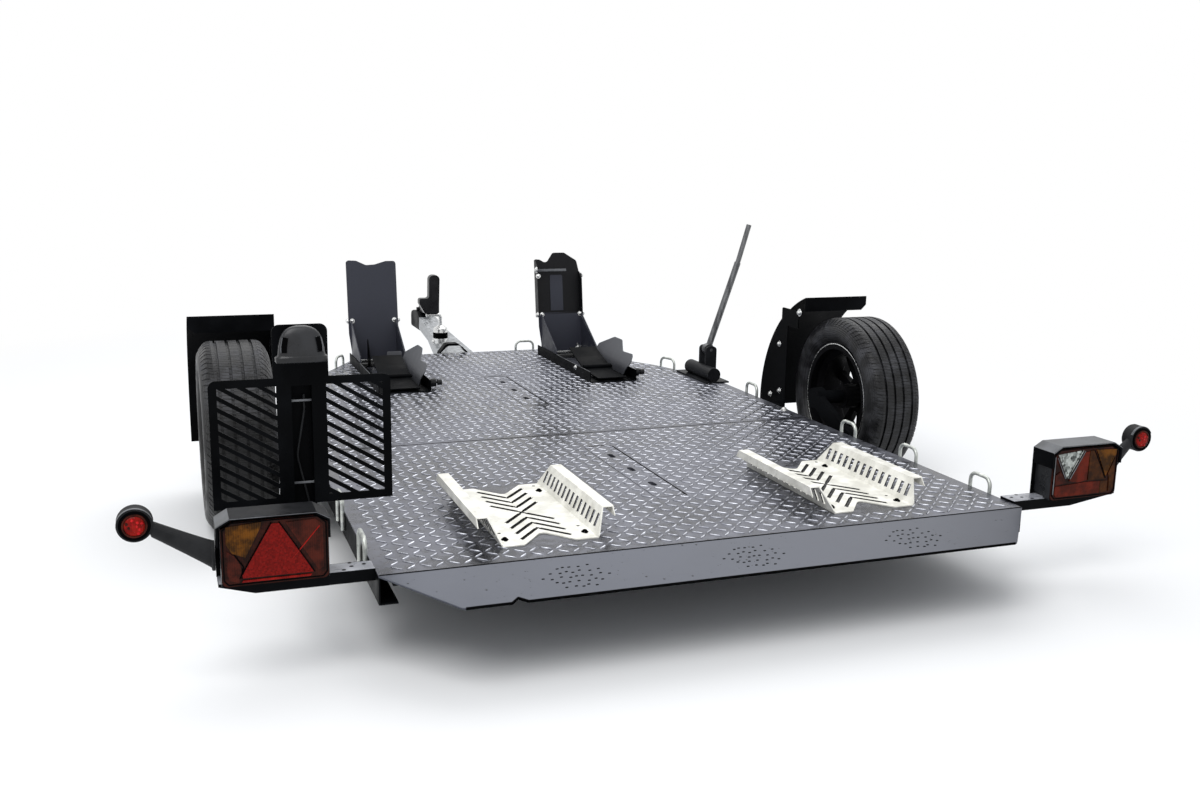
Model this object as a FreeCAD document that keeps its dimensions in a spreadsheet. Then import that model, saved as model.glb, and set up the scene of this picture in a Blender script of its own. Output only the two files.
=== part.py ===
import FreeCAD, Part
import math
import os
import Sketcher

# Two-bike motorcycle trailer with a low tread-plate deck that kneels on its swing axle.
# Millimetres. X is to the right, Y forward to the coupling, Z up from the ground.
# Stations along the trailer are counted forward from the deck's rear edge.

doc = FreeCAD.newDocument("Trailer")
sheet = doc.addObject("Spreadsheet::Sheet", "Sizes")

DRIVING = {
    # deck
    "deck_height": 208, "deck_width": 1586, "plate": 4, "seam_station": 1050,
    "taper_station": 1790, "knee_station": 2085, "knee_half": 690,
    "front_station": 2575, "front_half": 420, "deck_round": 60,
    "hatch_width": 86, "hatch_length": 540, "hatch_rear_station": 345,
    "hatch_front_station": 1475, "hatch_gap": 2, "hatch_tray": 18,
    "hatch_hole_long": 40, "hatch_hole_wide": 16, "hatch_hole_pitch": 150, "hatch_round": 20,
    # frame under the deck
    "rail_wide": 40, "rail_high": 60, "rail_wall": 3, "cross_high": 44, "cross_wide": 50,
    "cross_first": 60, "cross_second": 270, "cross_third": 930, "cross_fourth": 1390,
    "cross_fifth": 2050, "cross_fifth_half": 640, "cross_front": 2380, "cross_front_half": 470,
    "side_clear": 0.3,
    # loading lip
    "lip_reach": 153.6, "lip_drop": 28, "lip_inset": 136.3, "lip_plate": 4, "lip_root": 12,
    "lip_notch_x": -541, "lip_notch": 16,
    # wheels and swing axle
    "tyre_radius": 262.5, "tyre_width": 188, "bead_radius": 165, "rim_flange": 178,
    "rim_width": 140, "wheel_out": 202, "axle_station": 1090, "rim_wall": 6, "bead_gap": 0.2,
    "tread_round": 22, "groove_wide": 8, "groove_deep": 7, "groove_pitch": 31,
    "spoke_count": 10, "spoke_wide": 22, "spoke_thick": 20, "spoke_face": 48, "boss_radius": 62,
    "bore_radius": 22, "running_gap": 0.08, "hub_half": 52, "cap_radius": 34, "cap_long": 10,
    "pivot_station": 870, "pivot_drop": 44, "shaft_radius": 20, "tube_radius": 28,
    "arm_out": 45, "arm_thick": 22, "arm_big": 31, "arm_small": 23,
    "stub_flange": 34, "stub_flange_thick": 12,
    # fenders
    "fender_radius": 416.5, "fender_sheet": 3, "fender_out": 76, "fender_wide": 237,
    "fender_behind": 1.5, "fender_drop": 81.2, "fender_top_deg": 71, "fender_low_deg": 4,
    "flange_high": 44, "flange_chamfer": 18, "bracket_sheet": 4, "bracket_back": 241.5,
    "bracket_foot": 46, "bracket_tab_back": 70, "bracket_tab_long": 114, "bracket_tab_high": 60,
    "bracket_tab_up": 320, "bracket_arm_long": 60, "bracket_arm_high": 24,
    # rear lamps
    "lens_out": 94.9, "lens_long": 204.3, "lens_high": 130.7, "lens_low": 4.3,
    "lens_face": 12.4, "lens_deep": 26, "lens_round": 12, "housing_inset": 6,
    "hood_gap": 5, "hood_sheet": 3, "hood_chamfer": 26, "hood_chamfer_high": 15, "hood_deep": 74, "hood_proud": 4,
    "lamp_arm_high": 40, "marker_out": 451.6, "marker_station": 90.9, "marker_up": 120.9,
    "marker_radius": 44, "marker_deep": 34, "marker_lens": 34, "marker_lens_deep": 8,
    "arm_root_radius": 26, "arm_tip_radius": 17,
    # number plate holder
    "holder_out": 300.4, "holder_wide": 375, "holder_low": 94, "holder_high": 369.4,
    "holder_station": 235.1, "holder_sheet": 3, "holder_round": 16, "holder_margin": 17,
    "window_wide": 119, "slat_pitch": 24.5, "slat": 10.2, "slat_count": 21, "slat_deg": 32,
    "post_wide": 50, "post_deep": 30, "post_low": -40, "post_wall": 4, "post_foot": 20,
    "back_wide": 114, "back_high": 112, "plate_lamp_up": 37,
    "plate_lamp_wide": 107, "plate_lamp_high": 75, "plate_lamp_deep": 44,
    "cable_radius": 2.2,
    # wheel chocks
    "chock_left_x": 382, "chock_right_x": 402, "chock_station": 1800, "chock_wide": 186,
    "chock_long": 650, "chock_rail": 40, "chock_sheet": 3, "chock_border": 45,
    "window_start": 40, "window_end": 110,
    "upright_foot": 600, "upright_high": 408, "upright_lean": 8, "upright_half": 98,
    "upright_step": 180, "upright_recess": 37, "gusset_long": 195, "gusset_high": 172,
    "rocker_pivot": 180, "rocker_pivot_up": 26, "rocker_wide": 112, "rocker_half": 170,
    "rocker_pin": 5, "rocker_sleeve": 9, "wing_x": 61, "wing_high": 128, "wing_flare": 40,
    "knob_radius": 15, "knob_long": 26, "knob_station": 50, "knob_up": 22,
    # rear wheel cradles
    "cradle_left_x": 398, "cradle_right_x": 428, "cradle_station": 90, "cradle_long": 457,
    "cradle_wide": 222, "cradle_sheet": 2.5, "cradle_notch": 76, "cradle_notch_half": 60,
    "cradle_slot_half": 58, "cradle_slot_rise": 70, "cradle_slot": 11, "cradle_slot_pitch": 41,
    "cradle_hole": 4, "cradle_hole_x": 93.5, "cradle_hole_first": 45, "cradle_hole_last": 390,
    "cradle_hole_next": 46, "cradle_hole_long": 26,
    "wing_out": 24, "wing_up": 60, "wing_lip": 25, "wing_lip_drop": 20, "wing_slant": 42,
    "wing_slots": 14, "wing_slot_wide": 12.5, "wing_slot_pitch": 28.8, "wing_slot_low": 14,
    "wing_slot_high": 30,
    # drawbar, coupling and jockey wheel
    "drawbar_wide": 156, "drawbar_high": 56, "drawbar_start": 2436.6, "drawbar_parallel": 165,
    "drawbar_neck": 570, "drawbar_tip_wide": 78, "drawbar_end": 3190, "drawbar_low": 35.5,
    "drawbar_rise": 68, "hinge_start": 2430.3, "hinge_plate": 6, "hinge_long": 150,
    "hinge_high": 70, "hinge_low": 84, "clamp_high": 40,
    "nose_station": 3390, "ball_radius": 25, "socket_gap": 0.4, "head_wide": 74, "head_high": 62,
    "handle_pivot": 108, "handle_up": 24.3, "handle_wide": 40, "handle_gap": 1, "handle_ear": 7,
    "handle_pin": 5,
    "jockey_x": 30, "jockey_station": 2789, "jockey_room": 68, "jockey_wheel_wide": 46,
    "jockey_tube": 24, "jockey_stem": 19, "jockey_low": 175, "jockey_cup": 31,
    "jockey_cup_low": 2, "jockey_cup_high": 72, "fork_gap": 4, "fork_sheet": 5, "fork_wide": 32,
    "hub_bolt": 8, "crank_rod": 8, "crank_up": 134, "crank_reach": 62, "grip_radius": 22,
    "grip_high": 308,
    # tie-down loops
    "loop_wide": 88, "loop_up": 42, "loop_bar": 5, "loop_leg": 44, "loop_round": 22,
    "loop_first": 170, "loop_second": 490, "loop_third": 805, "loop_fourth": 1449,
    "loop_shoulder": 2020, "loop_neck": 2400, "loop_nose_x": 290,
    # hand pump
    "pump_in": 28, "pump_station": 1795, "pump_base_wide": 95, "pump_base_long": 270,
    "pump_plate": 6, "pump_radius": 26, "pump_long": 210, "lever_in": 17, "lever_station": 1775,
    "lever_pivot_up": 112, "lever_radius": 9.5, "lever_sleeve": 12, "lever_lean": 18.9,
    "lever_low": 355, "lever_long": 492, "lever_bow": 6.4, "lever_bend": 150, "lever_boss": 20, "boss_half": 14, "lever_pin": 6,
    "ear_thick": 12, "ear_gap": 5.5, "ear_wide": 44,
}
for row, (name, number) in enumerate(DRIVING.items(), start=1):
    sheet.set("A%d" % row, name)
    sheet.set("B%d" % row, str(number))
    sheet.setAlias("B%d" % row, name)
doc.recompute()


class Term:
    # A number together with the sheet formula that gives it.
    def __init__(self, text, number):
        self.text = text
        self.number = number

    def __add__(self, other):
        other = term(other)
        return Term("(%s + %s)" % (self.text, other.text), self.number + other.number)

    def __sub__(self, other):
        other = term(other)
        return Term("(%s - %s)" % (self.text, other.text), self.number - other.number)

    def __mul__(self, other):
        other = term(other)
        return Term("(%s * %s)" % (self.text, other.text), self.number * other.number)

    def __truediv__(self, other):
        other = term(other)
        return Term("(%s / %s)" % (self.text, other.text), self.number / other.number)

    def __radd__(self, other):
        return term(other) + self

    def __rsub__(self, other):
        return term(other) - self

    def __rmul__(self, other):
        return term(other) * self

    def __neg__(self):
        return Term("(0 - %s)" % self.text, -self.number)

    @property
    def tied(self):
        return "Sizes" in self.text


def term(item):
    return item if isinstance(item, Term) else Term(repr(item), float(item))


def sine(angle):
    return Term("sin(%s)" % angle.text, math.sin(math.radians(angle.number)))


def cosine(angle):
    return Term("cos(%s)" % angle.text, math.cos(math.radians(angle.number)))


def tangent(angle):
    return Term("tan(%s)" % angle.text, math.tan(math.radians(angle.number)))


def root(item):
    return Term("sqrt(%s)" % item.text, math.sqrt(item.number))


def slope(rise, run):
    rise, run = term(rise), term(run)
    return Term("(atan2(%s; %s) / 1 deg)" % (rise.text, run.text), math.degrees(math.atan2(rise.number, run.number)))


class Named:
    # Reads a driving size by its name in the sheet.
    def __getattr__(self, name):
        return Term("Sizes." + name, float(DRIVING[name]))


S = Named()

# Places that many pieces share.
half_deck = S.deck_width / 2
rear = (S.lip_reach - S.nose_station) / 2
under_plate = S.deck_height - S.plate
wheel_y = rear + S.axle_station
pivot_y = rear + S.pivot_station
pivot_z = S.deck_height - S.pivot_drop
arm_x = half_deck + S.arm_out
wheel_x = half_deck + S.wheel_out
fender_x = half_deck + S.fender_out
lens_x = half_deck + S.lens_out
marker_x = half_deck + S.marker_out
holder_x = half_deck + S.holder_out

NODES = {}


def bind(item, prop, size):
    # A size from the sheet is tied by its formula; a bare number is set as it is.
    if isinstance(size, int) and "." not in prop:
        setattr(item, prop, size)
    else:
        item.setExpression(prop, term(size).text)


def place(item, x=0, y=0, z=0, axis=None, angle=0):
    if axis:
        item.Placement = FreeCAD.Placement(FreeCAD.Vector(), FreeCAD.Rotation(FreeCAD.Vector(*axis), 1))
        bind(item, "Placement.Rotation.Angle", angle)
    for letter, size in zip("xyz", (x, y, z)):
        bind(item, "Placement.Base." + letter, size)
    return item


def keep(item, label):
    # The item becomes a sub-part of the trailer under this label.
    item.Label = label
    NODES[label] = item
    return item


def new_body(name, x=0, y=0, z=0, axis=None, angle=0):
    body = doc.addObject("PartDesign::Body", name)
    return place(body, x, y, z, axis, angle)


def new_sketch(body, plane, offset=0, turn=0):
    sketch = body.newObject("Sketcher::SketchObject", body.Name + "_outline")
    role = plane + "_Plane"
    base = [item for item in body.Origin.OriginFeatures if item.Role == role][0]
    sketch.AttachmentSupport = [(base, "")]
    sketch.MapMode = "FlatFace"
    bind(sketch, "AttachmentOffset.Base.z", offset)
    return sketch


def fix_point(sketch, geo, pos, x, y):
    for kind, size, other_axis in (("DistanceX", term(x), -2), ("DistanceY", term(y), -1)):
        if not size.tied and size.number == 0:
            sketch.addConstraint(Sketcher.Constraint("PointOnObject", geo, pos, other_axis))
            continue
        index = sketch.addConstraint(Sketcher.Constraint(kind, -1, 1, geo, pos, size.number))
        if size.tied:
            sketch.setExpression("Constraints[%d]" % index, size.text)


def fix_radius(sketch, geo, radius):
    radius = term(radius)
    index = sketch.addConstraint(Sketcher.Constraint("Radius", geo, radius.number))
    if radius.tied:
        sketch.setExpression("Constraints[%d]" % index, radius.text)


def draw(sketch, corners, closed=True):
    # Straight edges from corner to corner; a third value in a corner rounds it.
    count = len(corners)
    spots = [FreeCAD.Vector(term(c[0]).number, term(c[1]).number, 0) for c in corners]
    rounds = [term(c[2]) if len(c) > 2 else None for c in corners]
    trims = []
    for i in range(count):
        if rounds[i] is None:
            trims.append(0)
            continue
        back = spots[i - 1] - spots[i]
        ahead = spots[(i + 1) % count] - spots[i]
        trims.append(rounds[i].number / math.tan(back.getAngle(ahead) / 2))
    lines = []
    for i in range(count if closed else count - 1):
        j = (i + 1) % count
        way = (spots[j] - spots[i]).normalize()
        edge = Part.LineSegment(spots[i] + way * trims[i], spots[j] - way * trims[j])
        lines.append(sketch.addGeometry(edge, False))
    for i in range(count):
        first = not closed and i == 0
        last = not closed and i == count - 1
        if first:
            fix_point(sketch, lines[0], 1, corners[0][0], corners[0][1])
            continue
        before = lines[i - 1]
        if last:
            fix_point(sketch, before, 2, corners[i][0], corners[i][1])
            continue
        after = lines[i]
        if rounds[i] is None:
            sketch.addConstraint(Sketcher.Constraint("Coincident", before, 2, after, 1))
            fix_point(sketch, after, 1, corners[i][0], corners[i][1])
            continue
        back = (spots[i - 1] - spots[i]).normalize()
        ahead = (spots[(i + 1) % count] - spots[i]).normalize()
        radius = rounds[i].number
        middle = spots[i] + (back + ahead).normalize() * (radius / math.sin(back.getAngle(ahead) / 2))
        enter = spots[i] + back * trims[i] - middle
        leave = spots[i] + ahead * trims[i] - middle
        left_turn = (back.cross(ahead)).z < 0
        begin, end = (enter, leave) if left_turn else (leave, enter)
        arc = Part.ArcOfCircle(Part.Circle(middle, FreeCAD.Vector(0, 0, 1), radius),
                               math.atan2(begin.y, begin.x), math.atan2(end.y, end.x))
        curve = sketch.addGeometry(arc, False)
        corner = sketch.addGeometry(Part.Point(spots[i]), True)
        fix_point(sketch, corner, 1, corners[i][0], corners[i][1])
        sketch.addConstraint(Sketcher.Constraint("PointOnObject", corner, 1, before))
        sketch.addConstraint(Sketcher.Constraint("PointOnObject", corner, 1, after))
        sketch.addConstraint(Sketcher.Constraint("Tangent", before, 2, curve, 1 if left_turn else 2))
        sketch.addConstraint(Sketcher.Constraint("Tangent", curve, 2 if left_turn else 1, after, 1))
        fix_radius(sketch, curve, rounds[i])
    return sketch


def draw_circle(sketch, x, y, radius):
    centre = FreeCAD.Vector(term(x).number, term(y).number, 0)
    circle = Part.Circle(centre, FreeCAD.Vector(0, 0, 1), term(radius).number)
    ring = sketch.addGeometry(circle, False)
    fix_point(sketch, ring, 3, x, y)
    fix_radius(sketch, ring, radius)
    return sketch


def box_corners(x, y, width, height, radius=None):
    corners = [(x, y), (x + width, y), (x + width, y + height), (x, y + height)]
    return corners if radius is None else [corner + (radius,) for corner in corners]


def pad(body, sketch, length, symmetric=False, back=False):
    feature = body.newObject("PartDesign::Pad", body.Name + "_pad")
    feature.Profile = sketch
    bind(feature, "Length", length)
    feature.SideType = "Symmetric" if symmetric else "One side"
    feature.Reversed = back
    sketch.Visibility = False
    return feature


def pocket(body, sketch, length=None, back=False, symmetric=False):
    feature = body.newObject("PartDesign::Pocket", body.Name + "_pocket")
    feature.Profile = sketch
    if length is None:
        feature.Type = "ThroughAll"
        feature.SideType = "Symmetric"
    else:
        bind(feature, "Length", length)
        feature.SideType = "Symmetric" if symmetric else "One side"
    feature.Reversed = back
    return feature


def turned(body, sketch, angle=360, axis="H_Axis", cut=False):
    kind = "PartDesign::Groove" if cut else "PartDesign::Revolution"
    feature = body.newObject(kind, body.Name + "_turned")
    feature.Profile = sketch
    feature.ReferenceAxis = (sketch, [axis])
    bind(feature, "Angle", angle)
    return feature


def in_line(body, originals, direction, spacing, count):
    feature = body.newObject("PartDesign::LinearPattern", body.Name + "_row")
    feature.Originals = originals
    axis = [item for item in body.Origin.OriginFeatures if item.Role == direction + "_Axis"][0]
    feature.Direction = (axis, [""])
    feature.Mode = "Spacing"
    bind(feature, "Offset", spacing)
    bind(feature, "Occurrences", count)
    body.Tip = feature
    return feature


def in_ring(body, originals, direction, count):
    feature = body.newObject("PartDesign::PolarPattern", body.Name + "_ring")
    feature.Originals = originals
    axis = [item for item in body.Origin.OriginFeatures if item.Role == direction + "_Axis"][0]
    feature.Axis = (axis, [""])
    feature.Angle = 360
    bind(feature, "Occurrences", count)
    body.Tip = feature
    return feature


def block(name, x, y, z, wide, long, high):
    # A box from its low corner.
    item = doc.addObject("Part::Box", name)
    bind(item, "Length", wide)
    bind(item, "Width", long)
    bind(item, "Height", high)
    return place(item, x, y, z)


def rod(name, x, y, z, radius, length, axis="Z"):
    item = doc.addObject("Part::Cylinder", name)
    bind(item, "Radius", radius)
    bind(item, "Height", length)
    turns = {"X": ((0, 1, 0), 90), "Y": ((1, 0, 0), -90), "Z": (None, 0)}
    direction, angle = turns[axis]
    return place(item, x, y, z, direction, angle)


def joined(name, items):
    item = doc.addObject("Part::MultiFuse", name)
    item.Shapes = items
    return item


def cut_from(name, base, tool):
    item = doc.addObject("Part::Cut", name)
    item.Base = base
    item.Tool = tool
    return item


def together(name, items):
    item = doc.addObject("Part::Compound", name)
    item.Links = items
    return item


def mirrored(name, source):
    item = doc.addObject("Part::Mirroring", name)
    item.Source = source
    item.Normal = FreeCAD.Vector(1, 0, 0)
    return item


def both_sides(name, right):
    return keep(right, name + "_right"), keep(mirrored(name + "_left", right), name + "_left")


def bent_bar(body, plane, corners, radius, start_plane):
    # A round bar along straight runs joined by arcs, from the body's origin.
    path = new_sketch(body, plane)
    draw(path, corners, closed=False)
    end = new_sketch(body, start_plane)
    draw_circle(end, 0, 0, radius)
    feature = body.newObject("PartDesign::AdditivePipe", body.Name + "_bar")
    feature.Profile = end
    feature.Spine = (path, [])
    return feature


def deck_plates():
    back = new_body("deck_rear", 0, rear, under_plate)
    plan = new_sketch(back, "XY")
    draw(plan, box_corners(-half_deck, 0, S.deck_width, S.seam_station))
    pad(back, plan, S.plate)
    hatch_hole(back, S.hatch_rear_station)
    keep(back, "deck_rear")

    front = new_body("deck_front", 0, rear, under_plate)
    plan = new_sketch(front, "XY")
    draw(plan, [
        (half_deck, S.seam_station), (half_deck, S.taper_station, S.deck_round),
        (S.knee_half, S.knee_station, S.deck_round), (S.front_half, S.front_station, S.deck_round),
        (-S.front_half, S.front_station, S.deck_round), (-S.knee_half, S.knee_station, S.deck_round),
        (-half_deck, S.taper_station, S.deck_round), (-half_deck, S.seam_station)])
    pad(front, plan, S.plate)
    hatch_hole(front, S.hatch_front_station)
    keep(front, "deck_front")


def hatch_hole(body, station):
    opening = new_sketch(body, "XY")
    draw(opening, box_corners(-S.hatch_width / 2, station, S.hatch_width, S.hatch_length, S.hatch_round))
    pocket(body, opening)


def hatch_cover(name, station):
    cover = new_body(name, -S.hatch_width / 2, rear + station, under_plate)
    gap = S.hatch_gap
    plan = new_sketch(cover, "XY")
    draw(plan, box_corners(gap, gap, S.hatch_width - gap * 2, S.hatch_length - gap * 2, S.hatch_round - gap))
    pad(cover, plan, S.plate)
    # a flange under the plate carries the cover in its opening
    tray = new_sketch(cover, "XY")
    edge = S.hatch_tray
    draw(tray, box_corners(-edge, -edge, S.hatch_width + edge * 2, S.hatch_length + edge * 2))
    pad(cover, tray, S.plate, back=True)
    hole = new_sketch(cover, "XY")
    first = S.hatch_length / 2 - S.hatch_hole_pitch - S.hatch_hole_long / 2
    draw(hole, box_corners(S.hatch_width / 2 - S.hatch_hole_wide / 2, first, S.hatch_hole_wide,
                           S.hatch_hole_long, S.hatch_hole_wide / 2 - 0.5))
    slot = pocket(cover, hole)
    in_line(cover, [slot], "Y", S.hatch_hole_pitch, 3)
    return cover


def hatches():
    covers = [hatch_cover("hatch_rear", S.hatch_rear_station), hatch_cover("hatch_front", S.hatch_front_station)]
    keep(together("hatch_covers", covers), "hatch_covers")


def side_rails():
    # folded C-sections, open to the inside, that follow the straight sides of the deck
    rail = new_body("side_rail", half_deck, rear, under_plate)
    section = new_sketch(rail, "XZ")
    wall = S.rail_wall
    draw(section, [
        (0, 0), (0, -S.rail_high), (-S.rail_wide, -S.rail_high), (-S.rail_wide, -S.rail_high + wall),
        (-wall, -S.rail_high + wall), (-wall, -wall), (-S.rail_wide, -wall), (-S.rail_wide, 0)])
    pad(rail, section, S.taper_station, back=True)
    notch = new_sketch(rail, "YZ")
    draw_circle(notch, S.pivot_station, S.plate - S.pivot_drop, S.tube_radius + S.side_clear)
    pocket(rail, notch)
    keep(together("side_rails", [rail, mirrored("side_rail_left", rail)]), "side_rails")


def crossmember(name, station, half_long):
    # an upright channel, open forward, hung just under the deck plate
    bar = new_body(name, 0, rear + station, under_plate - S.side_clear)
    wall = S.rail_wall
    section = new_sketch(bar, "YZ")
    draw(section, [
        (0, 0), (0, -S.cross_high), (S.cross_wide, -S.cross_high), (S.cross_wide, -S.cross_high + wall),
        (wall, -S.cross_high + wall), (wall, -wall), (S.cross_wide, -wall), (S.cross_wide, 0)])
    pad(bar, section, half_long * 2, symmetric=True)
    return bar


def crossmembers():
    inner = half_deck - S.rail_wide - S.side_clear
    stations = [S.cross_first, S.cross_second, S.cross_third, S.cross_fourth]
    bars = [crossmember("cross_%d" % number, station, inner) for number, station in enumerate(stations)]
    bars.append(crossmember("cross_knee", S.cross_fifth, S.cross_fifth_half))
    bars.append(crossmember("cross_nose", S.cross_front, S.cross_front_half))
    keep(together("crossmembers", bars), "crossmembers")


def loading_lip():
    lip = new_body("loading_lip", 0, rear, S.deck_height, (1, 0, 0), slope(S.lip_drop, S.lip_reach))
    length = root(S.lip_drop * S.lip_drop + S.lip_reach * S.lip_reach)
    plan = new_sketch(lip, "XY")
    end = half_deck - S.lip_inset
    notch = S.lip_notch
    draw(plan, [
        (half_deck, -1), (-half_deck, -1), (-end, -length, S.lip_root), (S.lip_notch_x - notch, -length),
        (S.lip_notch_x, -length + notch), (S.lip_notch_x + notch, -length), (end, -length, S.lip_root)])
    pad(lip, plan, S.lip_plate, back=True)
    keep(lip, "loading_lip")


def swing_axle():
    tube = new_body("axle_tube", 0, pivot_y, pivot_z)
    ring = new_sketch(tube, "YZ")
    draw_circle(ring, 0, 0, S.tube_radius)
    draw_circle(ring, 0, 0, S.shaft_radius + S.running_gap)
    pad(tube, ring, S.deck_width, symmetric=True)
    keep(tube, "axle_tube")

    shaft = rod("pivot_shaft", -arm_x, pivot_y, pivot_z, S.shaft_radius, arm_x * 2, "X")
    keep(shaft, "pivot_shaft")

    run = S.axle_station - S.pivot_station
    rise = S.tyre_radius - pivot_z
    length = root(run * run + rise * rise)
    arm = new_body("swing_arm_right", arm_x, pivot_y, pivot_z, (1, 0, 0), slope(rise, run))
    side = new_sketch(arm, "YZ")
    draw(side, [
        (-S.arm_big, -S.arm_big, S.arm_big * 0.95), (length + S.arm_small, -S.arm_small, S.arm_small * 0.95),
        (length + S.arm_small, S.arm_small, S.arm_small * 0.95), (-S.arm_big, S.arm_big, S.arm_big * 0.95)])
    pad(arm, side, S.arm_thick)
    collar = new_sketch(arm, "YZ")
    draw_circle(collar, length, 0, S.stub_flange)
    pad(arm, collar, S.arm_thick + S.stub_flange_thick)
    stub = new_sketch(arm, "YZ")
    draw_circle(stub, length, 0, S.bore_radius)
    pad(arm, stub, wheel_x + S.spoke_face - S.side_clear - arm_x)
    both_sides("swing_arm", arm)


def wheels():
    rim = new_body("rim_right", wheel_x, wheel_y, S.tyre_radius)
    barrel = new_sketch(rim, "XZ")
    half = S.rim_width / 2
    seat = S.bead_radius
    wall = S.rim_wall
    draw(barrel, [
        (-half, seat), (-half, S.rim_flange), (-half - wall, S.rim_flange), (-half - wall, seat - wall),
        (-half + 20, seat - wall), (-half + 34, seat - 24), (half - 40, seat - 24), (half - 24, seat - wall),
        (half + wall, seat - wall), (half + wall, S.rim_flange), (half, S.rim_flange), (half, seat),
        (half - 22, seat), (half - 38, seat - 24 + wall), (-half + 32, seat - 24 + wall), (-half + 18, seat)])
    turned(rim, barrel)
    boss = new_sketch(rim, "XZ")
    face = S.spoke_face
    draw(boss, [
        (-S.hub_half, S.bore_radius + S.running_gap), (face, S.bore_radius + S.running_gap),
        (face, S.boss_radius - 10), (face - 10, S.boss_radius), (face - 30, S.boss_radius),
        (face - 30, 40), (-S.hub_half, 40)])
    turned(rim, boss)
    spoke = new_sketch(rim, "YZ", face - S.spoke_thick - 6)
    wide = S.spoke_wide
    draw(spoke, [
        (-wide / 2, S.boss_radius - 12), (wide / 2, S.boss_radius - 12), (wide * 0.7, seat - 20),
        (-wide * 0.7, seat - 20)])
    arm = pad(rim, spoke, S.spoke_thick)
    in_ring(rim, [arm], "X", S.spoke_count)
    cap = new_sketch(rim, "YZ", face)
    draw_circle(cap, 0, 0, S.cap_radius)
    pad(rim, cap, S.cap_long)
    both_sides("rim", rim)

    tyre = new_body("tyre_right", wheel_x, wheel_y, S.tyre_radius)
    section = new_sketch(tyre, "XZ")
    bulge = S.tyre_width / 2
    bead = S.bead_radius + S.bead_gap
    inner = S.rim_width / 2 - S.bead_gap
    draw(section, [
        (-inner, bead), (-inner, S.rim_flange + 4), (-bulge, S.rim_flange + 22, 26),
        (-bulge, S.tyre_radius - 34, 30), (-bulge + S.tread_round, S.tyre_radius - 4, 20),
        (-bulge + S.tread_round + 14, S.tyre_radius),
        (bulge - S.tread_round - 14, S.tyre_radius), (bulge - S.tread_round, S.tyre_radius - 4, 20),
        (bulge, S.tyre_radius - 34, 30), (bulge, S.rim_flange + 22, 26), (inner, S.rim_flange + 4),
        (inner, bead), (inner - 16, bead), (inner - 10, S.rim_flange + 12), (bulge - 14, S.rim_flange + 30, 16),
        (bulge - 16, S.tyre_radius - 34, 20), (bulge - S.tread_round - 18, S.tyre_radius - 16),
        (-bulge + S.tread_round + 18, S.tyre_radius - 16), (-bulge + 16, S.tyre_radius - 34, 20),
        (-bulge + 14, S.rim_flange + 30, 16), (-inner + 10, S.rim_flange + 12), (-inner + 16, bead)])
    turned(tyre, section)
    for number in range(4):
        groove = new_sketch(tyre, "XZ")
        middle = S.groove_pitch * (number - 1.5)
        draw(groove, box_corners(middle - S.groove_wide / 2, S.tyre_radius - S.groove_deep,
                                 S.groove_wide, S.groove_deep + 2))
        turned(tyre, groove, cut=True)
    both_sides("tyre", tyre)


def fenders():
    # a sheet strip over the front quadrant of the wheel, with a turned-down rear end
    low = S.fender_low_deg
    reach = S.fender_radius
    sheet_ = S.fender_sheet
    middle_y = wheel_y - S.fender_behind
    middle_z = S.tyre_radius - S.fender_drop
    strip = new_body("fender_strip", 0, middle_y, middle_z, (1, 0, 0), -low)
    section = new_sketch(strip, "XY")
    draw(section, box_corners(fender_x, reach, S.fender_wide, sheet_))
    turned(strip, section, S.fender_top_deg + low)
    keepers = [strip]
    back_y = middle_y + reach * cosine(S.fender_top_deg)
    top_z = middle_z + reach * sine(S.fender_top_deg)
    flange = new_body("fender_flange", fender_x, back_y, top_z)
    face = new_sketch(flange, "XZ")
    wide = S.fender_wide
    draw(face, [
        (0, sheet_), (0, -S.flange_high), (wide - S.flange_chamfer, -S.flange_high),
        (wide, -S.flange_high + S.flange_chamfer), (wide, sheet_)])
    pad(flange, face, sheet_, back=True)
    keepers.append(flange)
    both_sides("fender", joined("fender_joined", keepers))

    # upright side plate inboard of the fender, round like it, with a foot out from the frame rail
    plate_x = fender_x - S.bracket_sheet - S.side_clear
    disc = rod("fender_disc", plate_x, middle_y, middle_z, reach + sheet_, S.bracket_sheet, "X")
    region = new_body("fender_region", plate_x, middle_y, middle_z)
    face = new_sketch(region, "YZ")
    back = S.bracket_back
    low_z = S.deck_height - S.bracket_foot - middle_z
    draw(face, box_corners(back, low_z, reach, reach))
    pad(region, face, S.bracket_sheet)
    side = doc.addObject("Part::Common", "fender_side")
    side.Base = disc
    side.Tool = region
    tab = new_body("fender_tab", plate_x, middle_y + back - S.bracket_tab_back,
                   S.deck_height + S.bracket_tab_up - S.bracket_tab_high)
    face = new_sketch(tab, "YZ")
    draw(face, box_corners(0, 0, S.bracket_tab_long, S.bracket_tab_high, 6))
    pad(tab, face, S.bracket_sheet)
    foot = block("fender_foot", half_deck + S.side_clear, middle_y + back + 4, S.deck_height - S.bracket_foot,
                 plate_x - half_deck - S.side_clear + 1, S.bracket_arm_long, S.bracket_arm_high)
    both_sides("fender_bracket", joined("fender_bracket_joined", [side, tab, foot]))


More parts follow.
